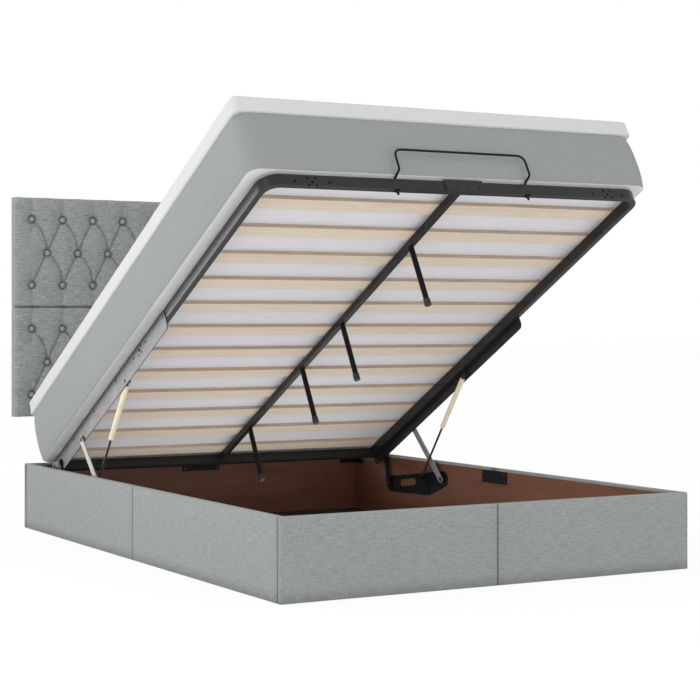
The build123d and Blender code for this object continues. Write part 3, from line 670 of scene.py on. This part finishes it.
def pleat_lines():
    """Points along each sewn pleat of one panel: between buttons, on to the edges, and short tucks."""
    low, middle, high = button_grid()
    ends, edges, tucks = [], [], []
    for n, knot in enumerate(middle):
        ends += [(high[n], knot, CURVED_BOW), (knot, low[n + 1], CURVED_BOW)]
        ends += [(high[n + 1], knot, STRAIGHT_BOW), (knot, low[n], STRAIGHT_BOW)]
    edges += [(knot, (knot[0], -EDGE_OVERRUN), 0.0) for knot in low]
    edges += [(knot, (knot[0], PANEL["height"] + EDGE_OVERRUN), 0.0) for knot in high]
    for lean, end in ((-TUCK_LEAN, 0), (TUCK_LEAN, -1)):
        tucks += [(high[end], (high[end][0] + lean, high[end][1] - TUCK_LENGTH), 0.0)]
        tucks += [(low[end], (low[end][0] + lean, low[end][1] + TUCK_LENGTH), 0.0)]
    return [drawn(ends), drawn(edges), drawn(tucks)]


def drawn(ends):
    """Points along lines from start to end that bow to one side."""
    lines = []
    for start, end, bow in ends:
        a, b = np.array(start), np.array(end)
        run = b - a
        side = np.array((-run[1], run[0])) / np.hypot(*run)
        share = np.linspace(0, 1, LINE_POINTS)[:, None]
        lines.append(a + run * share + side * bow * 4 * share * (1 - share))
    return lines


def distance_to(lines, spots):
    """Distance from each spot to the nearest of the lines."""
    nearest = np.full(len(spots), FAR)
    for line in lines:
        for a, b in zip(line[:-1], line[1:]):
            run = b - a
            share = np.clip(((spots - a) @ run) / (run @ run), 0, 1)
            nearest = np.minimum(nearest, np.hypot(*(spots - a - share[:, None] * run).T))
    return nearest


def wrapped(place, size, radius):
    """Position and lean of a grid place that wraps round an edge of a given radius."""
    arc = radius * math.pi / 2
    edge = min(place, size - 2 * radius + 2 * arc - place)
    if edge >= arc:
        return place - arc + radius, 0.0
    lean = (arc - edge) / radius
    flat = radius * (1 - math.sin(lean))
    return (flat, lean) if place < size / 2 else (size - flat, lean)


def fade(distance, reach):
    """One on a line, and less the further away."""
    return np.exp(-distance / reach)


def dip(distance, reach):
    """A round-bottomed hollow: one at its middle."""
    return np.exp(-(distance / reach) ** 2)


FOLD = {"depth": 0.004, "reach": 0.003}
VALLEY = {"depth": 0.0065, "reach": 0.018}
BUTTON_PIT = {"depth": 0.009, "reach": 0.016}
BUTTON_SLOPE = {"depth": 0.004, "reach": 0.03}
SHALLOWER, DEEPEST = 0.003, 0.0165


def pressed_in(pleat, knot):
    """Depth of the fabric, by its distance to a pleat and to a button."""
    sink = FOLD["depth"] * fade(pleat, FOLD["reach"]) + VALLEY["depth"] * fade(pleat, VALLEY["reach"])
    sink += BUTTON_PIT["depth"] * dip(knot, BUTTON_PIT["reach"])
    sink += BUTTON_SLOPE["depth"] * fade(knot, BUTTON_SLOPE["reach"])
    return np.minimum(sink, DEEPEST)


# Painted shade round the folds, tucks and buttons: how dark each one is and how far it reaches.
FOLD_DARK = {"share": 0.92, "reach": 0.0027}
FOLD_HAZE = {"share": 0.24, "reach": 0.009}
EDGE_DARK = {"share": 0.2, "reach": 0.0032}
TUCK_DARK = {"share": 0.6, "reach": 0.0026}
RING_DARK = {"share": 0.95, "reach": 0.0042, "radius": 0.0126}
RING_HAZE = {"share": 0.42, "reach": 0.019}
BETWEEN_BUTTONS, NEAR_BUTTON = 0.48, 0.52


def painted_fold_shade(between, outward, tuck, knot):
    """Painted shade in the folds and in a ring round each button, deepest beside the buttons."""
    near = BETWEEN_BUTTONS + NEAR_BUTTON * fade(knot, BUTTON_SLOPE["reach"])
    painted_darkness = near * (FOLD_DARK["share"] * dip(between, FOLD_DARK["reach"])
                   + FOLD_HAZE["share"] * fade(between, FOLD_HAZE["reach"]))
    painted_darkness = np.maximum(painted_darkness, near * EDGE_DARK["share"] * dip(outward, EDGE_DARK["reach"]))
    painted_darkness = np.maximum(painted_darkness, near * TUCK_DARK["share"] * dip(tuck, TUCK_DARK["reach"]))
    ring = RING_DARK["share"] * dip(knot - RING_DARK["radius"], RING_DARK["reach"])
    return np.maximum(painted_darkness, ring + RING_HAZE["share"] * fade(knot, RING_HAZE["reach"]))


MOTTLE_BASE, MOTTLE, MOTTLE_SCALE, MOTTLE_SEED = 0.85, 0.5, 60, 1.0
RIPPLE, RIPPLE_SCALE, RIPPLE_SEED = 0.0005, 30, 3.0
DARKEST = 0.9
# Painted shade on the sides as they turn away and on the edges where two panels meet.
SIDE_DARK, MATING_DARK, MATING_START, MATING_RISE = 0.2, 0.85, 0.6, 0.4
FLAT_EDGE = 0.03
SIDE_PULL, CORNER_PULL = 0.75, 0.006


def press_panel(shape, places, sink, painted_darkness, side):
    """Move the grid's points to the panel's face and edges, and set how much painted shade each one gets."""
    radius, depth = PANEL["round"], PANEL["depth"]
    middle_x, middle_z = PANEL["width"] / 2, PANEL["height"] / 2
    crease = shape.verts.layers.float.new("crease")
    for vert, (x, z, lean_x, lean_z), down, edge, dark in zip(shape.verts, places, sink, side, painted_darkness):
        sin_x, sin_z = math.sin(lean_x), math.sin(lean_z)
        mottle = MOTTLE_BASE + MOTTLE * noise.noise(Vector((x * MOTTLE_SCALE, z * MOTTLE_SCALE, MOTTLE_SEED)))
        mating = MATING_DARK * max(0.0, sin_z - MATING_START) / MATING_RISE
        vert[crease] = min(DARKEST, max(dark * mottle, SIDE_DARK * sin_x, mating))
        ripple = RIPPLE * noise.noise(Vector((x * RIPPLE_SCALE, z * RIPPLE_SCALE, RIPPLE_SEED)))
        face = math.cos(lean_x) * math.cos(lean_z)
        y = radius * (1 - face) + (down * face + ripple) * (0.5 + 0.5 * min(1, edge / FLAT_EDGE))
        inward = SIDE_PULL * down * (1 - face) + CORNER_PULL * sin_x * sin_z
        x += inward * math.copysign(sin_x, middle_x - x) if lean_x else 0
        z += inward * math.copysign(sin_z, middle_z - z) if lean_z else 0
        vert.co = (x, min(y, depth), z)


RIM_SHARES = ((0.3, 0.6), (0.65, 1.0), (1.0, 1.0))
AT_EDGE = 0.002


def run_back(shape, limits):
    """Sides behind the grid's rim, straighter the further back. Returns the edges of the open back."""
    radius, depth = PANEL["round"], PANEL["depth"]
    crease = shape.verts.layers.float["crease"]
    rim = [e for e in shape.edges if e.is_boundary]
    for back, straight in RIM_SHARES:
        made = bmesh.ops.extrude_edge_only(shape, edges=rim)["geom"]
        verts = [g for g in made if isinstance(g, bmesh.types.BMVert)]
        rim = [g for g in made if isinstance(g, bmesh.types.BMEdge) and g.is_boundary]
        for vert in verts:
            mating = min(vert.co.z, PANEL["height"] - vert.co.z) < AT_EDGE
            # Painted shade on the sides, darkest where two panels meet.
            vert[crease] = MATING_DARK if mating else SIDE_DARK
            vert.co.y = radius + (depth - radius) * back
            gap, axis = min((min(vert.co[n], limits[n // 2] - vert.co[n]), n) for n in (0, 2))
            vert.co[axis] += straight * (gap if vert.co[axis] > limits[axis // 2] / 2 else -gap)
    return rim


HELD_FOLD, HELD_FOLD_FADE, HELD_BUTTON = 1.3, 0.004, 0.01
HELD_SIDE, HELD_SIDE_FADE = 1.4, 0.012
CUSHION_CAP = 0.006


def cushion_shape():
    """One tufted cushion, its lower left front corner at the origin."""
    radius = PANEL["round"]
    arc = radius * math.pi / 2
    limits = (PANEL["width"] - 2 * CLEAR, PANEL["height"] - 2 * CLEAR)
    wide, tall = (limit - 2 * radius + 2 * arc for limit in limits)
    shape = bmesh.new()
    columns, rows = round(wide / GRID_STEP), round(tall / GRID_STEP)
    bmesh.ops.create_grid(shape, x_segments=columns, y_segments=rows, size=0.5)
    places = []
    for vert in shape.verts:
        x, lean_x = wrapped((vert.co.x + 0.5) * wide, limits[0], radius)
        z, lean_z = wrapped((vert.co.y + 0.5) * tall, limits[1], radius)
        places.append((x, z, lean_x, lean_z))
    spots = np.array([(p[0], p[1]) for p in places])
    between, outward, tuck = (distance_to(lines, spots) for lines in pleat_lines())
    pleat = np.minimum(between, np.minimum(outward, tuck) + SHALLOWER)
    knots = np.array(sum(button_grid(), []))
    knot = np.min(np.hypot(*(spots[:, None, :] - knots[None, :, :]).transpose(2, 0, 1)), axis=1)
    side = np.minimum(np.minimum(spots[:, 0], PANEL["width"] - spots[:, 0]),
                      np.minimum(spots[:, 1], PANEL["height"] - spots[:, 1]))
    press_panel(shape, places, pressed_in(pleat, knot), painted_fold_shade(between, outward, tuck, knot), side)
    rim = run_back(shape, limits)
    bmesh.ops.recalc_face_normals(shape, faces=shape.faces)
    shape.verts.index_update()
    held = np.ones(len(shape.verts))
    sewn = np.clip(HELD_FOLD - np.minimum(pleat, knot - HELD_BUTTON) / HELD_FOLD_FADE, 0, 1)
    held[:len(pleat)] = np.maximum(sewn, np.clip(HELD_SIDE - side / HELD_SIDE_FADE, 0, 1))
    swell(shape, held, CUSHION_CAP)
    bmesh.ops.holes_fill(shape, edges=rim)
    bmesh.ops.recalc_face_normals(shape, faces=shape.faces)
    return shape


CUSHION_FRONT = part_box("headboard_cushion_lower_left")[0].y
PANEL_BOTTOMS = {"lower": 0.414, "upper": 0.829}
PANEL_STARTS = {"left": -PANEL["width"], "right": 0.0}
PANELS = {f"{level}_{side}": (start, bottom) for level, bottom in PANEL_BOTTOMS.items()
          for side, start in PANEL_STARTS.items()}
FREE_EDGE, FREE_EDGE_SHARE = 0.012, 0.2

pattern = cushion_shape()
for name, (start, bottom) in PANELS.items():
    shape = pattern.copy()
    crease = shape.verts.layers.float["crease"]
    # Less painted shade on the free top and bottom edges, where no panel meets them.
    for vert in shape.verts:
        to_free_edge = PANEL["height"] - vert.co.z if "upper" in name else vert.co.z
        vert[crease] *= FREE_EDGE_SHARE if to_free_edge < FREE_EDGE else 1.0
    bmesh.ops.translate(shape, vec=(start + CLEAR, CUSHION_FRONT, bottom + CLEAR), verts=shape.verts)
    cushion = piece(f"cushion_{name}", shape, "base", [cushion_fabric],
                    [f"headboard_cushion_{name}"])
pattern.free()

# %% [markdown]
# A covered button is a small dome of the same fabric over a metal cap, with its rim tucked under. One
# outline is spun round once, and the same dome is set into every dimple.

# %% Covered buttons
BUTTON_OUTLINE = [(0.0, -0.0055), (0.005, -0.005), (0.0088, -0.0032), (0.0105, -0.0008), (0.0095, 0.0012),
                  (0.0, 0.002)]
BUTTON_STEPS, BUTTON_SINK = 14, 0.0125

studs = []
for start, bottom in PANELS.values():
    for x, z in sum(button_grid(), []):
        stud = dome(BUTTON_OUTLINE, BUTTON_STEPS)
        bmesh.ops.translate(stud, vec=(start + x, CUSHION_FRONT + BUTTON_SINK, bottom + z), verts=stud.verts)
        studs.append(stud)
piece("covered_buttons", gather(studs), "base", [cushion_fabric], ["headboard_buttons"])

# %% [markdown]
# The base boards are wrapped in the same woven fabric. It runs round the top edge as a soft roll, turns
# in at each joint and leaves a narrow shadow there, which painted shade at each cover's ends deepens. One
# cross section is drawn, pushed along the board and rounded, and then it is cut into steps. The covers of
# the two ends also wrap the base's corners.

# %% Fabric covers
COVER = {"low": 0.0008, "top": 0.241, "inner": 0.0012, "outer": 0.02, "lip": -0.0015, "lip_drop": 0.01}
COVER_STEP = 0.04
ROLL, ROLL_STEPS = 0.006, 5
LIP_ROUND, LIP_STEPS = 0.0015, 2
TURN_IN, TURN_STEPS = 0.0042, 4
PAST_ROLL = 0.0065
ABOVE_FLOOR, OFF_BOARD = 0.01, 0.001
SLACK, SLACK_OFFSET, SLACK_BAND = 0.0006, 0.0004, 0.004
WAVES_ALONG, WAVES_UP = 5, 9
LIP_END = 0.695
# Painted shade at the covers' ends: how dark it is and how far it reaches.
SEAM_DARK, SEAM_REACH = 0.75, 0.0045


def cover_shape(length, seed, wraps_corner):
    """Cover along +X: y runs from the board's inside (0) to its outer face."""
    top, outer, inner, low, lip = (COVER[key] for key in ("top", "outer", "inner", "low", "lip"))
    under_lip = top - COVER["lip_drop"]
    shape = bmesh.new()
    outline = [(inner, low), (outer, low), (outer, top), (lip, top), (lip, under_lip), (inner, under_lip)]
    ring = [shape.verts.new((0, y, z)) for y, z in outline]
    section = shape.faces.new(ring)
    pushed = bmesh.ops.extrude_face_region(shape, geom=[section])["geom"]
    far = [g for g in pushed if isinstance(g, bmesh.types.BMVert)]
    bmesh.ops.translate(shape, vec=(length, 0, 0), verts=far)
    bmesh.ops.recalc_face_normals(shape, faces=shape.faces)

    def along_at(y, z):
        return [e for e in shape.edges
                if all(abs(v.co.y - y) < MATCH and abs(v.co.z - z) < MATCH for v in e.verts)]

    bevel(shape, along_at(outer, top), ROLL, ROLL_STEPS)
    bevel(shape, along_at(lip, top), LIP_ROUND, LIP_STEPS)
    for end in (0, length):
        rim = [e for e in shape.edges if all(abs(v.co.x - end) < MATCH for v in e.verts)
               and max(v.co.y for v in e.verts) > outer - PAST_ROLL
               and max(v.co.z for v in e.verts) > ABOVE_FLOOR]
        bevel(shape, [e for e in rim if min(v.co.y for v in e.verts) > inner + OFF_BOARD
                      or min(v.co.z for v in e.verts) > top - PAST_ROLL], TURN_IN, TURN_STEPS)
    if wraps_corner:
        bevel(shape, [e for e in shape.edges
                      if all(abs(v.co.x - length) < MATCH and abs(v.co.y - inner) < MATCH for v in e.verts)],
              TURN_IN, TURN_STEPS)
    slices(shape, 0, 0, length, COVER_STEP)
    slices(shape, 2, low, under_lip, COVER_STEP)
    for vert in shape.verts:
        if vert.co.y > outer - SLACK_BAND:
            wave = noise.noise(Vector((vert.co.x * WAVES_ALONG + seed, vert.co.z * WAVES_UP, seed)))
            vert.co.y += SLACK * wave - SLACK_OFFSET
    # Painted shade at both ends of each cover, darkest at the joint, for the shadow in the seam.
    crease = shape.verts.layers.float.new("crease")
    for vert in shape.verts:
        to_end = length - vert.co.x
        if wraps_corner:
            if vert.co.x > LIP_END and vert.co.y < 0:
                vert.co.y = inner
            to_end += max(0.0, vert.co.y - inner)
        vert[crease] = SEAM_DARK * max(0.0, 1 - min(vert.co.x, to_end) / SEAM_REACH)
    return shape


def place_cover(shape, mirror, turn, corner):
    """Mirror a cover, turn it about Z and put it into its place on one side of the base."""
    shape.transform(Matrix.Diagonal((*mirror, 1, 1)))
    shape.transform(Matrix.Translation((*corner, 0)) @ Matrix.Rotation(math.radians(turn), 4, "Z"))
    bmesh.ops.recalc_face_normals(shape, faces=shape.faces)
    if shape.calc_volume(signed=True) < 0:
        bmesh.ops.reverse_faces(shape, faces=shape.faces)
    return shape


BASE_Y = -0.043
INNER_X, INNER_Y, SEAM = 0.7, 1.028, 0.0002
LENGTH_SIDE, LENGTH_END = 1.0272, 0.7198
AS_DRAWN, MIRROR_X, MIRROR_Y = (1, 1), (-1, 1), (1, -1)
SEED_STEP, HEAD_SEED = 7.3, 50
covers = {
    "side_cover_right_rear": (LENGTH_SIDE, MIRROR_Y, 90, (INNER_X, BASE_Y + SEAM)),
    "side_cover_right_front": (LENGTH_SIDE, AS_DRAWN, -90, (INNER_X, BASE_Y - SEAM)),
    "side_cover_left_rear": (LENGTH_SIDE, AS_DRAWN, 90, (-INNER_X, BASE_Y + SEAM)),
    "side_cover_left_front": (LENGTH_SIDE, MIRROR_Y, -90, (-INNER_X, BASE_Y - SEAM)),
    "foot_cover_right": (LENGTH_END, MIRROR_X, 180, (SEAM, BASE_Y - INNER_Y)),
    "foot_cover_left": (LENGTH_END, AS_DRAWN, 180, (-SEAM, BASE_Y - INNER_Y)),
}
for number, (name, (length, mirror, turn, corner)) in enumerate(covers.items()):
    shape = place_cover(cover_shape(length, number * SEED_STEP, "foot" in name), mirror, turn, corner)
    piece(f"{name}_fabric", shape, "base", [grey_fabric], [name])

head = []
for number, (mirror, way) in enumerate(((AS_DRAWN, 1), (MIRROR_X, -1))):
    shape = cover_shape(LENGTH_END, HEAD_SEED + number, True)
    head.append(place_cover(shape, mirror, 0, (way * SEAM, BASE_Y + INNER_Y)))
piece("head_covers_fabric", gather(head), "base", [grey_fabric], ["head_covers"])

# %% [markdown]
# The retainer bar is one bent steel rod that keeps the mattress from sliding off the raised platform.
# A curve with a round bevel is the natural way to make it: its corners are filleted like the real
# bends, and the curve is turned into a mesh at the end.

# %% Retainer bar
RAIL_REACH = 1.985
BAR_HALF_WIDTH, BAR_RADIUS, BAR_ROUNDNESS = 0.235, 0.0035, 4
BAR_INSIDE, BAR_OUTSIDE = 0.01, 0.031
BAR_HEIGHTS = (-0.061, -0.009, 0.003, 0.073)
BAR_BENDS = (0.006, 0.009, 0.028)
BEND_STEPS = 7


def filleted(points, radii):
    """Points along a path whose corners are rounded with the given radii."""
    path = [Vector(points[0])]
    for before, corner, after, radius in zip(points[:-2], points[1:-1], points[2:], radii):
        a, o, b = Vector(before), Vector(corner), Vector(after)
        one, two = (a - o).normalized(), (b - o).normalized()
        half = one.angle(two) / 2
        reach = radius / math.tan(half)
        start, end = o + one * reach, o + two * reach
        for n in range(BEND_STEPS + 1):
            share = n / BEND_STEPS
            path.append(start.lerp(o, share).lerp(o.lerp(end, share), share))
    path.append(Vector(points[-1]))
    return path


def rod(points):
    """Round rod along points that are given level and tipped with the platform."""
    line = bpy.data.curves.new("retainer_bar_line", "CURVE")
    line.dimensions = "3D"
    line.bevel_depth = BAR_RADIUS
    line.bevel_resolution = BAR_ROUNDNESS
    line.use_fill_caps = True
    spline = line.splines.new("POLY")
    spline.points.add(len(points) - 1)
    for point, spot in zip(spline.points, points):
        point.co = (*(raised @ spot), 1)
    guide = bpy.data.objects.new("retainer_bar_guide", line)
    bpy.context.scene.collection.objects.link(guide)
    shape = bmesh.new()
    spare = bpy.data.meshes.new_from_object(guide)
    shape.from_mesh(spare)
    bpy.data.objects.remove(guide)
    bpy.data.meshes.remove(spare)
    return shape


inside, outside = -RAIL_REACH + BAR_INSIDE, -RAIL_REACH - BAR_OUTSIDE
right = [(BAR_HALF_WIDTH, y, z) for y, z in zip((inside, inside, outside, outside), BAR_HEIGHTS)]
bar_points = right + [(-x, y, z) for x, y, z in reversed(right)]
piece("retainer_bar_rod", rod(filleted(bar_points, BAR_BENDS + BAR_BENDS[::-1])), "platform", [fitting_coat],
      ["retainer_bar"])

# %% [markdown]
# Small matt black domes sit on the steel frame as painted shade: they stand for the dark inside a
# cluster of holes, one in the middle, four round it and one at each side. The same set of seven is at four
# places, twice on the foot tube and once on each lift plate.

# %% Frame hole shade dots
HOLE_DOT_OUTLINE = [(0.0, -0.0013), (0.002, -0.0012), (0.0034, -0.0007), (0.0038, 0.0)]
HOLE_DOT_STEPS = 10
SQUARE_X, SQUARE_Z, SINGLE_X = 0.013, 0.012, 0.057
HOLE_DOT_PLACES = [(0, 0), (SQUARE_X, SQUARE_Z), (-SQUARE_X, SQUARE_Z), (SQUARE_X, -SQUARE_Z),
                (-SQUARE_X, -SQUARE_Z), (SINGLE_X, 0), (-SINGLE_X, 0)]
FOOT_SETS, FOOT_SET_Z = (-0.523, 0.542), -0.0355
LIFT_FACE, LIFT_SET_REACH, LIFT_SET_Z = 0.683, 0.9605, -0.038


def hole_dot_set(place, turn):
    """Seven dark domes of painted hole shade round a place on the level platform, on a face that is turned
    about Z.
    """
    move = Matrix.Translation(place) @ Matrix.Rotation(math.radians(turn), 4, "Z")
    made = []
    for x, z in HOLE_DOT_PLACES:
        hole_dot = dome(HOLE_DOT_OUTLINE, HOLE_DOT_STEPS)
        hole_dot.transform(raised @ move @ Matrix.Translation((x, 0, z)))
        made.append(hole_dot)
    return made


hole_dots = []
for x in FOOT_SETS:
    hole_dots += hole_dot_set((x, -RAIL_REACH, FOOT_SET_Z), 0)
for way in (-1, 1):
    hole_dots += hole_dot_set((way * LIFT_FACE, -LIFT_SET_REACH, LIFT_SET_Z), way * 90)
piece("frame_hole_shade_dots", gather(hole_dots), "platform", [hole_shade_black])

# %% [markdown]
# The floor is a plain pale plane that keeps the bed's shadow. To the camera it is mixed with white
# light, so that it runs into the white background without a line. The sky is white to the camera and in
# gloss, and a little dimmer as light. Three large soft lamps light the bed, one more shows only in the
# gloss of the steel, a dim one lights the storage space, and a low one stands for light off the floor.

# %% Floor, sky and lamps
FLOOR_HALF = 40
FLOOR_GLOW, GLOW_SHARE = 1.04, 0.85
SKY_FILL, SKY_SEEN = 0.78, 1.0

ground = bmesh.new()
bmesh.ops.create_grid(ground, x_segments=1, y_segments=1, size=FLOOR_HALF)
ground_mesh = bpy.data.meshes.new("floor")
ground.to_mesh(ground_mesh)
ground.free()
floor = bpy.data.objects.new("floor", ground_mesh)
bpy.context.scene.collection.objects.link(floor)
floor_finish = Finish("pale_floor")
floor_finish.set(Base_Color=paint(235, 235, 235), Roughness=0.9)
rays = floor_finish.tree.nodes.new("ShaderNodeLightPath")
seen = Wire(floor_finish, rays.outputs["Is Camera Ray"])
glow = floor_finish.node("ShaderNodeEmission", {}, {"Color": (1, 1, 1, 1), "Strength": FLOOR_GLOW})
plain = Wire(floor_finish, floor_finish.shader.outputs[0])
mixed = floor_finish.node("ShaderNodeMixShader", {}, {0: seen * GLOW_SHARE, 1: plain, 2: glow})
floor_finish.join(mixed, floor_finish.tree.nodes["Material Output"].inputs["Surface"])
ground_mesh.materials.append(floor_finish.material)

sky = bpy.data.worlds.new("pale_sky")
bpy.context.scene.world = sky
sky.use_nodes = True
sky_nodes, sky_links = sky.node_tree.nodes, sky.node_tree.links
backdrop = sky_nodes["Background"]
backdrop.inputs["Color"].default_value = (1, 1, 1, 1)
path = sky_nodes.new("ShaderNodeLightPath")
direct = sky_nodes.new("ShaderNodeMath")
direct.operation = "MAXIMUM"
sky_links.new(path.outputs["Is Camera Ray"], direct.inputs[0])
sky_links.new(path.outputs["Is Glossy Ray"], direct.inputs[1])
level = sky_nodes.new("ShaderNodeMapRange")
level.inputs["To Min"].default_value = SKY_FILL
level.inputs["To Max"].default_value = SKY_SEEN
sky_links.new(direct.outputs[0], level.inputs["Value"])
sky_links.new(level.outputs[0], backdrop.inputs["Strength"])


def lamp(name, place, aim, size, power, gloss_only=False):
    """Large soft rectangular lamp that the camera doesn't see."""
    light = bpy.data.lights.new(name, "AREA")
    light.shape = "RECTANGLE"
    light.size, light.size_y = size
    light.energy = power
    made = bpy.data.objects.new(name, light)
    made.location = place
    made.rotation_euler = (Vector(aim) - Vector(place)).to_track_quat("-Z", "Y").to_euler()
    made.visible_camera = False
    made.visible_diffuse = not gloss_only
    bpy.context.scene.collection.objects.link(made)


lamp("key_lamp", (-5.0, -2.5, 3.2), (0, 0, 0.6), (3.0, 3.0), 80)
lamp("front_lamp", (0.6, -4.8, 0.5), (0, -0.5, 1.0), (3.0, 0.8), 30)
lamp("back_lamp", (-6.0, 4.0, 1.6), (-0.7, 0, 0.8), (4.0, 3.0), 60)
lamp("edge_lamp", (-2.9, 4.5, 1.0), (-0.7, 0, 0.7), (2.8, 2.4), 92, gloss_only=True)
lamp("storage_lamp", (0, -0.15, 0.05), (0, -0.15, 1), (1.2, 1.7), 5.1)
lamp("floor_lamp", (-1.75, -0.2, 0.03), (-1.45, -0.2, 1), (0.9, 2.6), 14)
bpy.context.scene.view_settings.view_transform = "Standard"
print("floor, sky and lamps ready")
